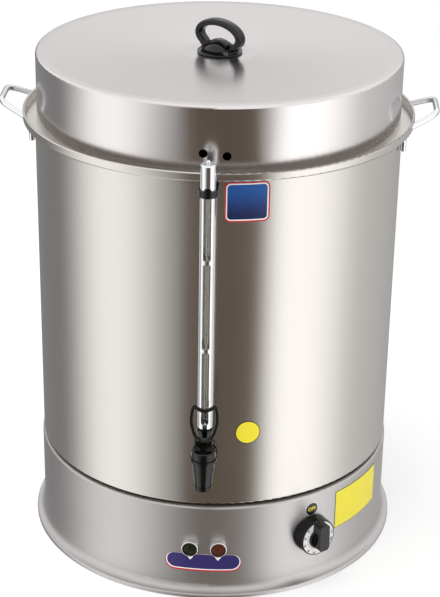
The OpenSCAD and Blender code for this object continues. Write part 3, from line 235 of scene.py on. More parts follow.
@dataclass(frozen=True)
class BrushedStainless(Surface):
    """Austenitic stainless sheet, linished round the tank with an abrasive belt.

    The fine scratches run round the axis, so highlights draw out into upright bands, and the
    tone wavers a little from one scratch to the next.

    Attributes:
        tint: Its colour.
        roughness: Its roughness in the middle of its range.
        anisotropy: How far highlights draw out.
        grain_turn: Which way they do, in turns from the tangent.
        scratch_mm: Width of a scratch; the real ones, 0.1 mm apart, are too fine to show.
        scratch_ends: How often a scratch ends in a radian.
        scratch_depth: How far scratches move the roughness.
        smudge: How far smudges move it.
        smudge_scale: Smudges in a metre.
        waver: How far the tone drops in a scratch.
    """

    tint: str
    roughness: float
    anisotropy: float
    grain_turn: float = 0.25
    scratch_mm: float = 0.7
    scratch_ends: float = 1.6
    scratch_depth: float = 0.005
    smudge: float = 0.008
    smudge_scale: float = 7.0
    waver: float = 0.012

    def inputs(self, tree: Tree) -> Links:
        """Lays fine scratches and soft smudges on the steel.

        Args:
            tree: The material's node tree.

        Returns:
            The shader's inputs, by name.
        """
        place = object_place(tree)
        x, y, z = add_node(tree, "ShaderNodeSeparateXYZ", {0: place}).outputs
        level = add_node(
            tree, "ShaderNodeVectorMath", {0: place, 1: (1, 1, 0)}, operation="MULTIPLY",
        )
        radius = add_node(tree, "ShaderNodeVectorMath", {0: level.outputs[0]}, operation="LENGTH")
        wrapped = add_node(
            tree, "ShaderNodeCombineXYZ",
            {0: maths(tree, "ARCTAN2", y, x), 1: radius.outputs["Value"], 2: z},
        )
        fine = 1 / (self.scratch_mm * MM)
        lines = add_node(
            tree, "ShaderNodeMapping",
            {0: wrapped.outputs[0], "Scale": (self.scratch_ends, fine, fine)}, vector_type="POINT",
        )
        scratch = noise(tree, lines.outputs[0], 1.0, detail=3.0)
        smudges = noise(tree, place, self.smudge_scale)
        rough, depth = self.roughness, self.scratch_depth
        lined = ranged(tree, scratch, (rough - depth, rough + depth), NOISE_SPAN)
        cloudy = ranged(tree, smudges, (-self.smudge, self.smudge), NOISE_SPAN)
        tone = ranged(tree, scratch, (1 - self.waver, 1.0), TONE_SPAN)
        tangent = add_node(tree, "ShaderNodeTangent", direction_type="RADIAL", axis="Z")
        return {
            "Base Color": mixed_colour(tree, 1.0, linear(self.tint), tone, "MULTIPLY"),
            "Metallic": 1.0, "Roughness": maths(tree, "ADD", lined, cloudy),
            "Anisotropic": self.anisotropy, "Anisotropic Rotation": self.grain_turn,
            "Tangent": tangent.outputs[0],
        }


@dataclass(frozen=True)
class PlainMetal(Surface):
    """Bare or plated metal without a grain: chromed steel, turned brass, heat-tinted sheath.

    A slow variation in roughness gives the soft unevenness of a polished or turned surface.
    """

    tint: str
    roughness: float
    waver: float = 0.02
    cloud_scale: float = 60.0

    def inputs(self, tree: Tree) -> Links:
        """Moves the roughness with a slow cloud.

        Args:
            tree: The material's node tree.

        Returns:
            The shader's inputs, by name.
        """
        cloud = noise(tree, object_place(tree), self.cloud_scale)
        span = (max(0.0, self.roughness - self.waver), self.roughness + self.waver)
        return {
            "Base Color": linear(self.tint), "Metallic": 1.0,
            "Roughness": ranged(tree, cloud, span, NOISE_SPAN),
        }


@dataclass(frozen=True)
class Moulded(Surface):
    """Moulded plastic, rubber or steatite, and the plain foils and inks.

    The skin copies the mould, glossy or finely spark-eroded, so a fine grain moves the
    roughness and the normal a little.
    """

    tint: str
    roughness: float
    spread: tuple[float, float] = (0.85, 1.15)
    grain_mm: float = 0.5
    relief: float = 0.02
    relief_depth: float = 0.2 * MM
    ior: float = 1.5

    def inputs(self, tree: Tree) -> Links:
        """Moves the roughness and the normal with a fine grain.

        Args:
            tree: The material's node tree.

        Returns:
            The shader's inputs, by name.
        """
        grain = noise(tree, object_place(tree), 1 / (self.grain_mm * MM), detail=3.0)
        low, high = self.spread
        span = (self.roughness * low, self.roughness * high)
        return {
            "Base Color": linear(self.tint), "IOR": self.ior,
            "Roughness": ranged(tree, grain, span, NOISE_SPAN),
            "Normal": bump(tree, grain, self.relief, self.relief_depth),
        }


@dataclass(frozen=True)
class ClearGlass(Surface):
    """Drawn borosilicate tube: clear and smooth, with a trace of lime inside that dulls it."""

    tint: str = "F8FAF9"
    lime_scale: float = 30.0
    lime_roughness: float = 0.03
    ior: float = 1.47

    def inputs(self, tree: Tree) -> Links:
        """Dulls the glass with a thin film of lime.

        Args:
            tree: The material's node tree.

        Returns:
            The shader's inputs, by name.
        """
        film = noise(tree, object_place(tree), self.lime_scale)
        return {
            "Base Color": linear(self.tint), "Transmission Weight": 1.0, "IOR": self.ior,
            "Roughness": ranged(tree, film, (0.0, self.lime_roughness)),
        }


@dataclass(frozen=True)
class GradedFoil(Surface):
    """Vinyl foil printed in one colour that runs into another, under a clear gloss film."""

    low_tint: str
    high_tint: str
    low: float
    high: float
    roughness: float = 0.25
    spread: tuple[float, float] = (0.8, 1.2)
    film_scale: float = 400.0

    def inputs(self, tree: Tree) -> Links:
        """Runs one tint into the other with height.

        Args:
            tree: The material's node tree.

        Returns:
            The shader's inputs, by name.
        """
        place = object_place(tree)
        height = add_node(tree, "ShaderNodeSeparateXYZ", {0: place}).outputs[2]
        share = ranged(tree, height, (0.0, 1.0), (self.low, self.high), ease=True)
        film = noise(tree, place, self.film_scale)
        low, high = self.spread
        return {
            "Base Color": mixed_colour(tree, share, linear(self.low_tint), linear(self.high_tint)),
            "Roughness": ranged(tree, film, (self.roughness * low, self.roughness * high)),
        }


@dataclass(frozen=True)
class RingedLens(Surface):
    """Tinted polycarbonate lens with moulded rings on its inside, which spread the lamp's light."""

    tint: str
    centre: Point
    ring_mm: float = 1.2
    relief: float = 0.5
    relief_depth: float = 0.3 * MM
    shade: float = 0.55
    roughness: float = 0.18
    ior: float = 1.3

    def inputs(self, tree: Tree) -> Links:
        """Shades and raises the rings round the lens's middle.

        Args:
            tree: The material's node tree.

        Returns:
            The shader's inputs, by name.
        """
        middle = add_node(
            tree, "ShaderNodeMapping",
            {0: object_place(tree), "Location": tuple(-c for c in self.centre)},
            vector_type="POINT",
        )
        rings = add_node(
            tree, "ShaderNodeTexWave",
            {0: middle.outputs[0], "Scale": WAVE_PITCH / (self.ring_mm * MM)},
            wave_type="RINGS", rings_direction="SPHERICAL",
        ).outputs["Fac"]
        tone = ranged(tree, rings, (self.shade, 1.0))
        return {
            "Base Color": mixed_colour(tree, 1.0, linear(self.tint), tone, "MULTIPLY"),
            "Roughness": self.roughness, "IOR": self.ior,
            "Normal": bump(tree, rings, self.relief, self.relief_depth),
        }


class Finish(Enum):
    """Every finish on the urn, by the name of the real one, save one darker steel that is painted
    shade.
    """

    TANK_STEEL = BrushedStainless("tank_stainless_linished", "C9C5C0", 0.26, 0.85)
    SKIRT_STEEL = BrushedStainless("skirt_stainless_linished", "BBB8B7", 0.45, 0.7)
    LID_STEEL = BrushedStainless(
        "lid_stainless_satin", "D0CCCB", 0.21, 0.5, scratch_mm=0.4, scratch_depth=0.004,
        waver=0.008,
    )
    MILL_STEEL = BrushedStainless("mill_stainless", "B4B0AB", 0.38, 0.2)
    # Painted shade: a dark brown copy of the steel on the support ring, for the shade deep in the
    # groove between the skirt and the jacket.
    GROOVE_STEEL = BrushedStainless("shaded_stainless", "6E665E", 0.45, 0.2)
    CHROME = PlainMetal("bright_chrome_plate", "D9DADC", 0.05)
    SHEATH = PlainMetal("heat_tinted_sheath", "6E675F", 0.35, 0.06)
    BRASS = PlainMetal("turned_brass", "C9A35A", 0.28, 0.05)
    PHENOLIC = Moulded("glossy_black_phenolic", "0B0B0B", 0.1, ior=1.4)
    ACETAL = Moulded("polished_black_acetal", "070707", 0.08, ior=1.25)
    NYLON = Moulded("satin_black_nylon", "101011", 0.4, ior=1.4)
    RUBBER = Moulded("black_nitrile_rubber", "141414", 0.6, ior=1.4)
    SILICONE = Moulded("pale_silicone", "C9C4BB", 0.5)
    DIAL_WHITE = Moulded("white_printed_foil", "E9E7E5", 0.3)
    DIAL_INK = Moulded("black_dial_ink", "1A1A1C", 0.5)
    RED_INK = Moulded("red_dial_ink", "A8383A", 0.5)
    GLASS = ClearGlass("borosilicate_tube")
    STEATITE = Moulded("steatite_housing", "E6DFCD", 0.5)
    CUTOUT = Moulded("brown_phenolic_housing", "3A2C22", 0.4)
    TERMINAL = Moulded("white_nylon_terminal", "ECEAE2", 0.4)
    NAVY_FOIL = Moulded("navy_vinyl_foil", "2F2766", 0.28)
    RED_FOIL = Moulded("red_vinyl_foil", "BE2A33", 0.28)
    WHITE_FOIL = Moulded("white_vinyl_foil", "EFEFEE", 0.28)
    YELLOW_FOIL = Moulded("yellow_vinyl_foil", "EEDF28", 0.3)
    BLACK_FOIL = Moulded("black_vinyl_foil", "141416", 0.3)
    BLUE_FOIL = GradedFoil("blue_vinyl_foil", "1A2350", "1C569F", 0.503, 0.545)

    def material(self) -> bpy.types.Material:
        """Returns the finish's material, which is built once."""
        return bpy.data.materials.get(self.value.name) or self.value.build()


def coat(node: str, material: bpy.types.Material) -> None:
    """Gives a CAD node one material in place of its plain ones.

    Args:
        node: The node.
        material: Its new material.
    """
    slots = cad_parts[node].data.materials
    slots.clear()
    slots.append(material)
    log.info("finish %s on %s", material.name, node)


def dress(finish: Finish, *nodes: str) -> None:
    """Gives CAD nodes a finish."""
    for node in nodes:
        coat(node, finish.material())


# ---------------------------------------- mesh helpers


def new_object(name: str, data: bpy.types.ID) -> Object:
    """Makes an object and links it to the scene.

    Args:
        name: Its name.
        data: The mesh, curve, camera or lamp that it holds.

    Returns:
        The object.
    """
    thing = bpy.data.objects.new(name, data)
    bpy.context.scene.collection.objects.link(thing)
    return thing


def used_up(holder: Object) -> Mesh:
    """Applies an object's modifiers and removes the object.

    Args:
        holder: The object.

    Returns:
        The finished mesh.
    """
    graph = bpy.context.evaluated_depsgraph_get()
    mesh = bpy.data.meshes.new_from_object(holder.evaluated_get(graph))
    holder.modifiers.clear()
    bpy.data.objects.remove(holder)
    return mesh


def new_piece(name: str, mesh: Mesh, finish: Finish, body: str) -> Object:
    """Links a finished mesh as a piece that rides on a CAD body.

    Args:
        name: The piece's name.
        mesh: Its mesh, already in place.
        finish: Its finish.
        body: The CAD body that it moves with.

    Returns:
        The piece.
    """
    mesh.materials.clear()
    mesh.materials.append(finish.material())
    piece = new_object(name, mesh)
    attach(piece, body)
    log.info("piece %s rides on %s", name, body)
    return piece


def mesh_from(name: str, bm: bmesh.types.BMesh, smooth: bool = True) -> Mesh:
    """Turns a bmesh into a mesh with outward normals.

    Args:
        name: The mesh's name.
        bm: The bmesh, which is freed.
        smooth: Whether its faces are shaded smooth.

    Returns:
        The mesh.
    """
    bmesh.ops.remove_doubles(bm, verts=bm.verts, dist=WELD)
    bmesh.ops.recalc_face_normals(bm, faces=bm.faces)
    for face in bm.faces:
        face.smooth = smooth
    mesh = bpy.data.meshes.new(name)
    bm.to_mesh(mesh)
    bm.free()
    return mesh


def turned(
    name: str, profile: Sequence[tuple[float, float]], axis: tuple[float, float],
) -> Mesh:
    """Turns a profile round an upright axis, as on a lathe.

    Args:
        name: The mesh's name.
        profile: Radius and height of each point, from the foot up; the ends lie on the axis.
        axis: Where the axis stands.

    Returns:
        A closed mesh.
    """
    bm = bmesh.new()
    rings = []
    for r, z in profile:
        count = TURNED_SIDES if r > 0 else 1
        turns = [math.tau * i / count for i in range(count)]
        rings.append([
            bm.verts.new((axis[0] + r * math.cos(a), axis[1] + r * math.sin(a), z)) for a in turns
        ])
    for low, high in zip(rings, rings[1:]):
        for i in range(TURNED_SIDES):
            j = (i + 1) % TURNED_SIDES
            corners = (
                low[i % len(low)], low[j % len(low)], high[j % len(high)], high[i % len(high)],
            )
            bm.faces.new(list(dict.fromkeys(corners)))
    mesh = mesh_from(name, bm)
    mesh.set_sharp_from_angle(angle=SHARP)
    return mesh


@dataclass(frozen=True)
class WrappedPlate:
    """A thin plate or sticker that follows a round wall.

    Attributes:
        radius: Radius of the wall.
        bearing: Bearing of its middle, in degrees.
        height: Height of its middle.
        lift: How far its face stands off the wall.
        slant: How far it rises per metre across, for one stuck on askew.
    """

    radius: float
    bearing: float
    height: float
    lift: float = 0.25 * MM
    slant: float = 0.0

    def place(self, x: float, z: float, depth: float) -> Point:
        """Finds a point on the plate.

        Args:
            x: How far it is across, to the right of the middle.
            z: How far it is up from the middle.
            depth: How far it is off the wall.

        Returns:
            The point.
        """
        angle = math.radians(self.bearing) + x / self.radius
        r = self.radius + depth
        return (r * math.sin(angle), -r * math.cos(angle), self.height + z + x * self.slant)

    def mesh(self, name: str, columns: Sequence[Column]) -> Mesh:
        """Builds the plate from upright columns.

        Args:
            name: The mesh's name.
            columns: Its columns, from left to right.

        Returns:
            A closed thin mesh.
        """
        bm = bmesh.new()

        def sheet_at(depth: float) -> list[list[bmesh.types.BMVert]]:
            """Returns the corners of one side, column by column."""
            return [
                [
                    bm.verts.new(self.place(x, low + (high - low) * k / PLATE_ROWS, depth))
                    for k in range(PLATE_ROWS + 1)
                ]
                for x, low, high in columns
            ]

        back, front = sheet_at(HAIR), sheet_at(self.lift)
        last = len(columns) - 1
        for i in range(last):
            for k in range(PLATE_ROWS):
                for sheet in (back, front):
                    bm.faces.new(
                        (sheet[i][k], sheet[i + 1][k], sheet[i + 1][k + 1], sheet[i][k + 1])
                    )
            for k in (0, PLATE_ROWS):
                bm.faces.new((back[i][k], back[i + 1][k], front[i + 1][k], front[i][k]))
        for i in (0, last):
            for k in range(PLATE_ROWS):
                bm.faces.new((back[i][k], back[i][k + 1], front[i][k + 1], front[i][k]))
        return mesh_from(name, bm, smooth=False)


def rounded_columns(width: float, height: float, corner: float) -> list[Column]:
    """Columns of a rectangle with round corners.

    Args:
        width: Its width.
        height: Its height.
        corner: Radius of its corners, less than half its width.

    Returns:
        Its columns, from left to right.
    """
    arc = [math.pi / 2 * i / CORNER_STEPS for i in range(CORNER_STEPS + 1)]
    left = [
        (-width / 2 + corner * (1 - math.cos(a)), height / 2 - corner + corner * math.sin(a))
        for a in arc
    ]
    inner = width - 2 * corner
    steps = max(2, int(inner / COLUMN_STEP))
    middle = [(-inner / 2 + inner * i / steps, height / 2) for i in range(1, steps)]
    right = [(-x, top) for x, top in reversed(left)]
    return [(x, -top, top) for x, top in left + middle + right]


def flat_text(name: str, words: str, size: float) -> Mesh:
    """Makes plain lettering as a flat mesh centred on the origin, in the XY plane.

    Args:
        name: The mesh's name.
        words: The characters.
        size: Their size.

    Returns:
        The mesh.
    """
    curve = bpy.data.curves.new(name, "FONT")
    curve.body = words
    curve.size = size
    curve.align_x = "CENTER"
    curve.align_y = "CENTER"
    curve.extrude = INK_DEPTH
    curve.offset = BOLD_SHARE * size
    mesh = used_up(new_object(name, curve))
    bpy.data.curves.remove(curve)
    return mesh


def moulded_copy(node: str, voxel: float, passes: int) -> Mesh:
    """Copies a CAD node's mesh with the soft edges that a mould leaves.

    Args:
        node: The CAD node.
        voxel: Size of the cells that the copy is rebuilt from.
        passes: How often it is smoothed; each pass rounds the edges a little more.

    Returns:
        The copy.
    """
    bm = bmesh.new()
    bm.from_mesh(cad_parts[node].data)
    bmesh.ops.remove_doubles(bm, verts=bm.verts, dist=CAD_WELD)
    holder = new_object(node, mesh_from(f"{node}_moulded", bm))
    remesh = holder.modifiers.new("remesh", "REMESH")
    remesh.mode = "VOXEL"
    remesh.voxel_size = voxel
    remesh.use_smooth_shade = True
    soften = holder.modifiers.new("soften", "SMOOTH")
    soften.iterations = passes
    return used_up(holder)


def size_tree(name: str, sizes: dict[str, float]) -> tuple[Tree, bpy.types.NodeOutputs]:
    """Starts a Geometry Nodes tree with named sizes.

    Args:
        name: The tree's name.
        sizes: The value of each size; a whole number makes its input one for whole numbers.

    Returns:
        The tree, and the outputs that give its sizes.
    """
    tree = bpy.data.node_groups.new(name, "GeometryNodeTree")
    tree.interface.new_socket("Geometry", in_out="OUTPUT", socket_type="NodeSocketGeometry")
    for label, value in sizes.items():
        kind = "NodeSocketInt" if isinstance(value, int) else "NodeSocketFloat"
        tree.interface.new_socket(label, in_out="INPUT", socket_type=kind)
    return tree, tree.nodes.new("NodeGroupInput").outputs


def grown(tree: Tree, sizes: dict[str, float]) -> Mesh:
    """Runs a Geometry Nodes tree and returns what it makes as a plain mesh.

    Args:
        tree: The tree.
        sizes: The value of each size.

    Returns:
        The mesh.
    """
    holder = new_object(tree.name, bpy.data.meshes.new(tree.name))
    modifier = holder.modifiers.new(tree.name, "NODES")
    modifier.node_group = tree
    for item in tree.interface.items_tree:
        if item.in_out == "INPUT":
            modifier[item.identifier] = sizes[item.name]
    return used_up(holder)


# ---------------------------------------- studio


@dataclass(frozen=True)
class Camera:
    """The camera: a long lens on a stand, a little right of the tap, looking down."""

    bearing: float = 2.4
    distance: float = 2.0505
    height: float = 1.2347
    pitch: float = 25.634
    roll: float = 0.914
    lens: float = 105.19
    sensor: float = 36
    shift: tuple[float, float] = (0.00786, 0.0603)
    sight: float = 50

    def build(self) -> None:
        """Makes the camera and makes it the scene's own."""
        turn = math.radians(self.bearing)
        dip = math.radians(self.pitch)
        roll = math.radians(self.roll)
        level = Vector((math.cos(turn), math.sin(turn), 0))
        ahead = Vector((-math.sin(turn), math.cos(turn), 0))
        forward = ahead * math.cos(dip) - Vector((0, 0, 1)) * math.sin(dip)
        upward = ahead * math.sin(dip) + Vector((0, 0, 1)) * math.cos(dip)
        right = level * math.cos(roll) + upward * math.sin(roll)
        up = upward * math.cos(roll) - level * math.sin(roll)
        data = bpy.data.cameras.new("camera")
        data.lens = self.lens
        data.sensor_width = self.sensor
        data.shift_x, data.shift_y = self.shift
        data.clip_end = self.sight
        camera = new_object("camera", data)
        axes = Matrix((right, up, -forward)).transposed().to_4x4()
        place = Vector((
            self.distance * math.sin(turn), -self.distance * math.cos(turn), self.height,
        ))
        camera.matrix_world = Matrix.Translation(place) @ axes
        bpy.context.scene.camera = camera


@dataclass(frozen=True)
class Softbox:
    """A tall soft light of the studio, as metal sees it: a band of bearings that glows.

    Attributes:
        start: Bearing at which it begins, in degrees.
        full: Bearings between which it is at its full level.
        end: Bearing at which it ends.
        level: Its level above the room.
    """

    start: float
    full: tuple[float, float]
    end: float
    level: float


@dataclass(frozen=True)
class Studio:
    """A white room with tall softboxes and a dark gap between them at the camera.

    Attributes:
        room: Level of the walls, as metal sees them.
        gap: Bearings between which the walls are darker and warmer.
        gap_edge: Half the width of the gap's soft edges, in degrees.
        gap_level: Share of their level that the walls keep in the gap.
        gap_tint: Their colour in the gap.
        sky: Upward slopes between which the walls run into the ceiling.
        overhead: Level of the ceiling.
        boxes: The softboxes.
        white: Level of the white that the camera sees.
        fill: Level of the light on all that isn't glossy.
        lamp_size: Sides of the overhead lamp.
        lamp_power: Its power in watts.
        lamp_place: Where it hangs.
        lamp_aim: The point that it faces.
        floor_radius: Radius of the floor.
        floor_tint: The floor's colour.
        floor_glow: Share of plain white in the floor at the urn, where its shadow falls.
        floor_fade: Distances between which that share grows to all of it.
    """

    room: float = 0.28
    gap: tuple[float, float] = (-18.0, 30.0)
    gap_edge: float = 5.0
    gap_level: float = 0.8
    gap_tint: str = "CFB8A2"
    sky: tuple[float, float] = (0.05, 0.45)
    overhead: float = 1.32
    boxes: tuple[Softbox, ...] = (
        Softbox(-116, (-72, -66), -10, 1.2),
        Softbox(24, (48, 62), 108, 0.82),
        Softbox(24, (48, 72), 212, 0.66),
    )
    white: float = 1.0
    fill: float = 0.85
    lamp_size: tuple[float, float] = (2.4, 1.8)
    lamp_power: float = 60
    lamp_place: Point = (-0.5, -0.4, 2.6)
    lamp_aim: Point = (0, 0, 0.2)
    floor_radius: float = 12
    floor_tint: str = "F6F6F6"
    floor_glow: float = 0.55
    floor_fade: tuple[float, float] = (0.7, 2.5)

    def world(self) -> None:
        """Makes the world: white to the camera, the room to metal, an even fill to the rest."""
        world = bpy.data.worlds.new("studio")
        bpy.context.scene.world = world
        tree = empty_tree(world)
        coords = add_node(tree, "ShaderNodeTexCoord")
        axes = {0: coords.outputs["Generated"]}
        x, y, z = add_node(tree, "ShaderNodeSeparateXYZ", axes).outputs
        turn = maths(tree, "ARCTAN2", x, maths(tree, "MULTIPLY", y, -1.0))
        bearing = maths(tree, "DEGREES", turn)

        def ramp(low: float, high: float, start: float, end: float) -> Socket:
            """Returns a level that eases from start to end between two bearings."""
            return ranged(tree, bearing, (start, end), (low, high), ease=True)

        level: Level = self.room
        for box in self.boxes:
            rise = ramp(box.start, box.full[0], 0.0, box.level)
            fall = ramp(box.full[1], box.end, 1.0, 0.0)
            level = maths(tree, "ADD", level, maths(tree, "MULTIPLY", rise, fall))
        low, high = self.gap
        left = ramp(low - self.gap_edge, low + self.gap_edge, 1.0, 0.0)
        right = ramp(high - self.gap_edge, high + self.gap_edge, 0.0, 1.0)
        beside = maths(tree, "MAXIMUM", left, right)
        walls = maths(tree, "MULTIPLY", level, ranged(tree, beside, (self.gap_level, 1.0)))
        sky = ranged(tree, z, (0.0, 1.0), self.sky, ease=True)
        room = mixed_level(tree, sky, walls, self.overhead)
        rays = add_node(tree, "ShaderNodeLightPath").outputs
        soft = mixed_level(tree, rays["Is Glossy Ray"], self.fill, room)
        seen = maths(tree, "MAXIMUM", rays["Is Camera Ray"], rays["Is Transmission Ray"])
        plain = maths(tree, "MAXIMUM", beside, sky)
        tint = mixed_colour(tree, plain, linear(self.gap_tint), linear(WHITE))
        shine = add_node(tree, "ShaderNodeBackground", {
            "Color": mixed_colour(tree, rays["Is Glossy Ray"], linear(WHITE), tint),
            "Strength": mixed_level(tree, seen, soft, self.white),
        })
        add_node(tree, "ShaderNodeOutputWorld", {"Surface": shine.outputs[0]})

    def lamp(self) -> None:
        """Hangs one large soft lamp over the urn, for its shadow."""
        data = bpy.data.lights.new("overhead_lamp", "AREA")
        data.shape = "RECTANGLE"
        data.size, data.size_y = self.lamp_size
        data.energy = self.lamp_power
        lamp = new_object("overhead_lamp", data)
        lamp.location = self.lamp_place
        ahead = Vector(self.lamp_aim) - lamp.location
        lamp.rotation_euler = ahead.to_track_quat("-Z", "Y").to_euler()
        lamp.visible_glossy = False

    def floor(self) -> None:
        """Lays a plain white floor, which metal looks through to the room beyond."""
        bm = bmesh.new()
        bmesh.ops.create_circle(bm, cap_ends=True, segments=FLOOR_SIDES, radius=self.floor_radius)
        mesh = mesh_from("floor", bm, smooth=False)
        piece = new_object("floor", mesh)
        material = bpy.data.materials.new("studio_floor")
        tree = empty_tree(material)
        rays = add_node(tree, "ShaderNodeLightPath").outputs
        matt = add_node(tree, "ShaderNodeBsdfDiffuse", {"Color": linear(self.floor_tint)})
        glow = add_node(
            tree, "ShaderNodeEmission", {"Color": linear(WHITE), "Strength": self.white},
        )
        clear = add_node(tree, "ShaderNodeBsdfTransparent")
        seen = maths(tree, "MAXIMUM", rays["Is Camera Ray"], rays["Is Transmission Ray"])
        away = add_node(tree, "ShaderNodeVectorMath", {0: object_place(tree)}, operation="LENGTH")
        fade = ranged(tree, away.outputs["Value"], (self.floor_glow, 1.0), self.floor_fade)
        pale = add_node(tree, "ShaderNodeMixShader", {
            0: maths(tree, "MULTIPLY", seen, fade), 1: matt.outputs[0], 2: glow.outputs[0],
        })
        mix = add_node(tree, "ShaderNodeMixShader", {
            0: rays["Is Glossy Ray"], 1: pale.outputs[0], 2: clear.outputs[0],
        })
        add_node(tree, "ShaderNodeOutputMaterial", {"Surface": mix.outputs[0]})
        mesh.materials.append(material)

    def build(self) -> None:
        """Makes the world, the lamp and the floor."""
        self.world()
        self.lamp()
        self.floor()
        bpy.context.scene.view_settings.view_transform = "Standard"


# ---------------------------------------- the urn


@dataclass(frozen=True)
class Tank:
    """Skirt, jacket, vessel, gutter, handles and what the base holds.

    Attributes:
        stud_bearing: Bearing of the studs that hold the handles' front ends, on both sides.
        stud_axis: Distance of a stud from the tank's axis.
        stud_radius: Its radius.
        stud_length: How far it reaches down from the gutter.
        stud_steps: Corners of its outline, from the foot up: millimetres inside its radius
            and over its foot.
        stud_gap: How far its top stays under the jacket's edge.
    """

    stud_bearing: float = 78.6
    stud_axis: float = 229.4 * MM
    stud_radius: float = 3.7 * MM
    stud_length: float = 25 * MM
    stud_steps: tuple[tuple[float, float], ...] = ((1.2, 0), (0.4, 0.5), (0.4, 5), (0, 5.4))
    stud_gap: float = 0.05 * MM

    def dress(self) -> None:
        """Gives each CAD piece its finish."""
        dress(Finish.TANK_STEEL, "outer_jacket", "rim_gutter")
        dress(Finish.SKIRT_STEEL, "base_skirt")
        # The support ring gets painted shade: darker steel for the shade in the groove under the
        # jacket.
        dress(Finish.GROOVE_STEEL, "support_ring")
        dress(
            Finish.MILL_STEEL, "water_vessel", "bottom_cover", "cover_brackets", "bulb_pocket",
            "cutout_strap", "tap_spacer", "terminal_bracket", "lamp_nuts",
        )
        dress(Finish.CHROME, "handle_left", "handle_right", "cover_screws", "thermostat_screws")
        dress(Finish.SHEATH, "heating_element")
        dress(
            Finish.BRASS, "element_necks", "gland_nuts", "cutout_studs", "earth_stud",
            "earth_nuts", "tap_nut", "thermostat_bulb",
        )
        dress(Finish.RUBBER, "element_gaskets", "tap_gaskets", "inlet_seal")
        dress(Finish.NYLON, "inlet_gland", "inlet_cap", "inlet_locknut")
        dress(Finish.STEATITE, "thermostat_body")
        dress(Finish.CUTOUT, "dry_boil_cutout")
        dress(Finish.TERMINAL, "terminal_block")

    def build(self) -> None:
        """Makes the studs under the gutter."""
        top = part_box("outer_jacket")[1].z - self.stud_gap
        r, foot = self.stud_radius, top - self.stud_length
        steps = [(r - inset * MM, foot + rise * MM) for inset, rise in self.stud_steps]
        profile = [(0, foot), *steps, (r, top), (0, top)]
        for side, name in ((-1, "handle_stud_left"), (1, "handle_stud_right")):
            turn = math.radians(side * self.stud_bearing)
            axis = (self.stud_axis * math.sin(turn), -self.stud_axis * math.cos(turn))
            new_piece(name, turned(name, profile, axis), Finish.CHROME, "tank")


@dataclass(frozen=True)
class Lid:
    """The lid and its knob.

    Attributes:
        voxel: Cell size of the moulded copies.
        passes: How often they are smoothed.
    """

    voxel: float = 0.4 * MM
    passes: int = 4

    def dress(self) -> None:
        """Gives each CAD piece its finish, and the shell's rolled edge an even shading."""
        dress(Finish.LID_STEEL, "lid_shell")
        dress(Finish.PHENOLIC, "knob_rosette", "knob_loop")
        dress(Finish.CHROME, "knob_screws")
        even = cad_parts["lid_shell"].modifiers.new("even_shading", "WEIGHTED_NORMAL")
        even.keep_sharp = True

    def build(self) -> None:
        """Makes the moulded loop and rosette."""
        for node in ("knob_loop", "knob_rosette"):
            mesh = moulded_copy(node, self.voxel, self.passes)
            piece = new_piece(f"{node}_moulded", mesh, Finish.PHENOLIC, "lid")
            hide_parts(node)


@dataclass(frozen=True)
class TapAndGauge:
    """The tap and the sight gauge over it.

    Attributes:
        voxel: Cell size of the moulded lever.
        passes: How often it is smoothed.
        stem_travel: How far the stem lifts and presses the spring together; not used.
    """

    voxel: float = 0.3 * MM
    passes: int = 4
    stem_travel: float = 3.5 * MM

    def dress(self) -> None:
        """Gives each CAD piece its finish."""
        dress(Finish.PHENOLIC, "tap_shank", "tap_body", "tap_bonnet", "tap_lever", "gauge_clip")
        dress(Finish.NYLON, "valve_stem")
        dress(Finish.SILICONE, "seat_cup")
        dress(Finish.CHROME, "lever_pin", "valve_spring", "gauge_guard", "gauge_cap", "clip_screw")
        dress(Finish.RUBBER, "gauge_lower_seal", "gauge_upper_seal")
        dress(Finish.GLASS, "gauge_glass")

    def build(self) -> None:
        """Makes the moulded lever, and a copy of the valve spring with a mesh of its own."""
        mesh = moulded_copy("tap_lever", self.voxel, self.passes)
        lever = new_piece("tap_lever_moulded", mesh, Finish.ACETAL, "lever")
        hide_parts("tap_lever")
        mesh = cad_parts["valve_spring"].data.copy()
        spring = new_piece("valve_spring_coil", mesh, Finish.CHROME, "tank")
        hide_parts("valve_spring")
        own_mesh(spring)


@dataclass(frozen=True)
class TickRow:
    """A row of ticks printed round the dial's ring.

    Attributes:
        name: The row's name.
        finish: Its ink.
        circle: Radius of the circle through the ticks' middles.
        first: Angle of the first tick in degrees, counted anticlockwise from the right.
        sweep: Angle from the first tick to the last.
        count: Number of ticks.
        length: Length of a tick, across the ring.
        width: Its width.
        thickness: Its thickness.
    """

    name: str
    finish: Finish
    circle: float
    first: float
    sweep: float
    count: int
    length: float
    width: float
    thickness: float = 0.06 * MM


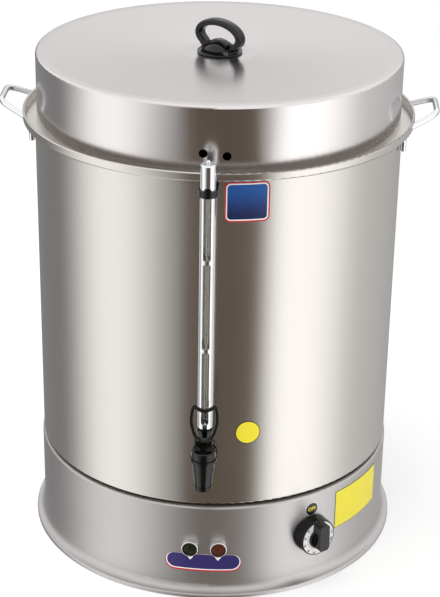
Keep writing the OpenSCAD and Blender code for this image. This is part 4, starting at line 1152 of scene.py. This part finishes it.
@dataclass(frozen=True)
class Dial:
    """The thermostat knob, its white ring and the marks printed on the ring.

    Attributes:
        bearing: Bearing of the knob.
        height: Height of its middle.
        digit_circle: Radius of the circle of numbers.
        digit_size: Their size.
        numbers: The temperatures round the ring.
        first: Angle of the first number, counted anticlockwise from the top.
        pitch: Angle from one number to the next.
        print_lift: How far the ink stands off the ring.
        voxel: Cell size of the moulded knob.
        passes: How often it is smoothed.
    """

    bearing: float = 35.3
    height: float = 71 * MM
    digit_circle: float = 20.5 * MM
    digit_size: float = 4 * MM
    numbers: tuple[int, ...] = (30, 40, 50, 60, 70, 80, 90, 100, 110)
    first: float = 48
    pitch: float = 29
    print_lift: float = 0.05 * MM
    voxel: float = 0.45 * MM
    passes: int = 3

    def dress(self) -> None:
        """Gives each CAD piece its finish."""
        dress(Finish.PHENOLIC, "dial_knob")
        dress(Finish.DIAL_WHITE, "dial_ring")

    def plane(self) -> Matrix:
        """Finds the ring's printed face.

        Returns:
            Its place: X to the right, Y up and Z outwards.
        """
        turn = math.radians(self.bearing)
        across = Vector((math.cos(turn), math.sin(turn), 0))
        out = Vector((math.sin(turn), -math.cos(turn), 0))
        face = max(out.dot(vertex.co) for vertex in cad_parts["dial_ring"].data.vertices)
        middle = out * (face + self.print_lift) + Vector((0, 0, self.height))
        axes = Matrix((across, Vector((0, 0, 1)), out)).transposed().to_4x4()
        return Matrix.Translation(middle) @ axes

    def digits(self, plane: Matrix) -> None:
        """Prints the numbers, each upright to the ring.

        Args:
            plane: The ring's face.
        """
        for i, number in enumerate(self.numbers):
            name = f"dial_number_{number}"
            turn = Matrix.Rotation(math.radians(self.first + i * self.pitch), 4, "Z")
            mesh = flat_text(name, str(number), self.digit_size)
            mesh.transform(plane @ turn @ Matrix.Translation((0, self.digit_circle, 0)))
            new_piece(name, mesh, Finish.DIAL_INK, "dial")

    def ticks(self, plane: Matrix, row: TickRow) -> None:
        """Prints a row of ticks round the ring.

        Args:
            plane: The ring's face.
            row: The row.
        """
        values = {
            "Circle radius": row.circle, "First angle": math.radians(row.first),
            "Sweep": math.radians(row.sweep), "Count": row.count, "Length": row.length,
            "Width": row.width, "Thickness": row.thickness,
        }
        tree, size = size_tree(row.name, values)
        arc = add_node(tree, "GeometryNodeCurveArc", {
            "Resolution": size["Count"], "Radius": size["Circle radius"],
            "Start Angle": size["First angle"], "Sweep Angle": size["Sweep"],
        })
        shape = add_node(tree, "ShaderNodeCombineXYZ", {
            0: size["Length"], 1: size["Width"], 2: size["Thickness"],
        })
        bar = add_node(tree, "GeometryNodeMeshCube", {"Size": shape.outputs[0]})
        place = add_node(tree, "GeometryNodeInputPosition")
        turn = add_node(
            tree, "FunctionNodeAlignRotationToVector", {"Vector": place.outputs[0]}, axis="X",
        )
        copies = add_node(tree, "GeometryNodeInstanceOnPoints", {
            "Points": arc.outputs["Curve"], "Instance": bar.outputs["Mesh"],
            "Rotation": turn.outputs[0],
        })
        solid = add_node(tree, "GeometryNodeRealizeInstances", {0: copies.outputs[0]})
        inked = add_node(tree, "GeometryNodeSetMaterial", {
            "Geometry": solid.outputs[0], "Material": row.finish.material(),
        })
        add_node(tree, "NodeGroupOutput", {0: inked.outputs[0]})
        mesh = grown(tree, values)
        mesh.transform(plane)
        new_piece(row.name, mesh, row.finish, "dial")

    def build(self) -> None:
        """Makes the moulded knob and prints the ring."""
        mesh = moulded_copy("dial_knob", self.voxel, self.passes)
        knob = new_piece("dial_knob_moulded", mesh, Finish.PHENOLIC, "dial")
        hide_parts("dial_knob")
        plane = self.plane()
        self.digits(plane)
        self.ticks(plane, TickRow(
            "dial_ticks", Finish.DIAL_INK, circle=21.7 * MM, first=90 + self.first - self.pitch / 2,
            sweep=self.pitch * len(self.numbers), count=len(self.numbers) + 1,
            length=1.1 * MM, width=0.35 * MM,
        ))
        self.ticks(plane, TickRow(
            "dial_red_ticks", Finish.RED_INK, circle=16.1 * MM, first=126, sweep=110, count=12,
            length=2.2 * MM, width=0.5 * MM,
        ))


@dataclass(frozen=True)
class PilotLamps:
    """The two pilot lamps."""

    green: str = "22280A"
    amber: str = "5E2A12"

    def dress(self) -> None:
        """Gives each CAD piece its finish."""
        dress(Finish.CHROME, "green_bezel", "amber_bezel")
        dress(Finish.NYLON, "green_barrel", "amber_barrel")
        for lamp, tint in (("green", self.green), ("amber", self.amber)):
            node = f"{lamp}_lens"
            low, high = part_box(node)
            lens = RingedLens(f"{lamp}_polycarbonate", tint, tuple((low + high) / 2))
            coat(node, lens.build())


@dataclass(frozen=True)
class Layer:
    """One printed layer of a foil: its finish, its columns and how far it is shifted up."""

    finish: Finish
    columns: list[Column]
    rise: float = 0.0


def rounded(
    finish: Finish, width: float, height: float, corner: float, rise: float = 0.0,
) -> Layer:
    """Makes a layer with round corners, from sizes in millimetres.

    Args:
        finish: Its finish.
        width: Its width.
        height: Its height.
        corner: Radius of its corners.
        rise: How far it is shifted up.

    Returns:
        The layer.
    """
    return Layer(finish, rounded_columns(width * MM, height * MM, corner * MM), rise * MM)


@dataclass(frozen=True)
class Foils:
    """The printed foils on the jacket and the skirt, all plain.

    Attributes:
        skirt: Radius of the skirt's wall.
        jacket: Radius of the jacket.
        slot: The record's material slot; not used.
        layer_step: How far each layer stands off the one below.
        legend_height: Height of the plate under the lamps, in millimetres.
        pointer_half: Half the width of the pointer to a lamp.
        pointer_drop: How far it reaches down.
        pointer_lift: How far it stands off the skirt.
        word_size: Size of the word over the knob.
        word_lift: How far it stands off the skirt.
    """

    skirt: float = 226.7 * MM
    jacket: float = 225 * MM
    slot: str = "brushed_stainless"
    layer_step: float = 0.06 * MM
    legend_height: float = 24.8
    pointer_half: float = 6.6 * MM
    pointer_drop: float = 8.6 * MM
    pointer_lift: float = 0.5 * MM
    word_size: float = 6.6 * MM
    word_lift: float = 0.36 * MM

    def stick(self, name: str, spot: WrappedPlate, *layers: Layer) -> None:
        """Sticks a foil of one or more printed layers to a wall.

        Args:
            name: The foil's name.
            spot: Where it goes.
            *layers: Its layers, the lowest first.
        """
        for number, layer in enumerate(layers):
            lift = spot.lift + number * self.layer_step
            sheet = replace(spot, height=spot.height + layer.rise, lift=lift)
            mesh = sheet.mesh(f"{name}_{number}", layer.columns)
            new_piece(f"{name}_{number}", mesh, layer.finish, "tank")

    def legend(self) -> None:
        """Makes the plate under the lamps, with a pointer to each lamp."""
        plate, tall = WrappedPlate(self.skirt, -0.3, 45.8 * MM, slant=-0.014), self.legend_height
        self.stick(
            "legend", plate,
            rounded(Finish.RED_FOIL, 95, tall, tall / 2 - 0.1),
            rounded(Finish.WHITE_FOIL, 93, tall - 2.4, 11.1, 1.1),
            rounded(Finish.NAVY_FOIL, 90.4, tall - 4, 10.3, 1.7),
        )
        half, drop = self.pointer_half, self.pointer_drop
        shares = [i / POINTER_STEPS - 1 for i in range(2 * POINTER_STEPS + 1)]
        columns = [(half * v, -drop * (1 - abs(v)) - HAIR, 0.0) for v in shares]
        for lamp in ("green", "amber"):
            low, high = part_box(f"{lamp}_bezel")
            bearing = math.degrees(math.atan2(low.x + high.x, -low.y - high.y))
            across = math.radians(bearing - plate.bearing) * self.skirt
            height = plate.height + tall * MM / 2 + across * plate.slant
            spot = WrappedPlate(self.skirt, bearing, height, self.pointer_lift, plate.slant)
            self.stick(f"{lamp}_pointer", spot, Layer(Finish.WHITE_FOIL, columns))

    def off_mark(self) -> None:
        """Makes the round OFF mark over the knob."""
        spot = WrappedPlate(self.skirt, Dial.bearing, 104 * MM)
        self.stick(
            "off_mark", spot,
            rounded(Finish.WHITE_FOIL, 18.4, 18.4, 9.15),
            rounded(Finish.BLACK_FOIL, 17.2, 17.2, 8.55),
        )
        words = flat_text("off_word", "OFF", self.word_size)
        for vertex in words.vertices:
            vertex.co = spot.place(vertex.co.x, vertex.co.y, self.word_lift + vertex.co.z)
        new_piece("off_word", words, Finish.YELLOW_FOIL, "tank")

    def build(self) -> None:
        """Makes every foil."""
        self.legend()
        self.off_mark()
        self.stick(
            "yellow_note", WrappedPlate(self.skirt, 57, 88 * MM),
            rounded(Finish.BLACK_FOIL, 94, 53, 1),
            rounded(Finish.YELLOW_FOIL, 92.6, 51.6, 0.6),
        )
        self.stick(
            "badge", WrappedPlate(self.jacket, 11, 523 * MM),
            rounded(Finish.RED_FOIL, 52, 48, 7),
            rounded(Finish.WHITE_FOIL, 48.4, 44.4, 5.4),
            rounded(Finish.BLUE_FOIL, 45.6, 41.6, 4.4),
        )
        self.stick(
            "yellow_spot", WrappedPlate(self.jacket, 12.8, 228 * MM),
            rounded(Finish.BLACK_FOIL, 30, 30, 14.9),
            rounded(Finish.YELLOW_FOIL, 28.4, 28.4, 14.1),
        )


def main() -> None:
    """Builds the studio and dresses the urn."""
    Camera().build()
    Studio().build()
    for part in (Tank(), Lid(), TapAndGauge(), Dial()):
        part.dress()
        part.build()
    PilotLamps().dress()
    Foils().build()


if __name__ == "__main__":
    main()
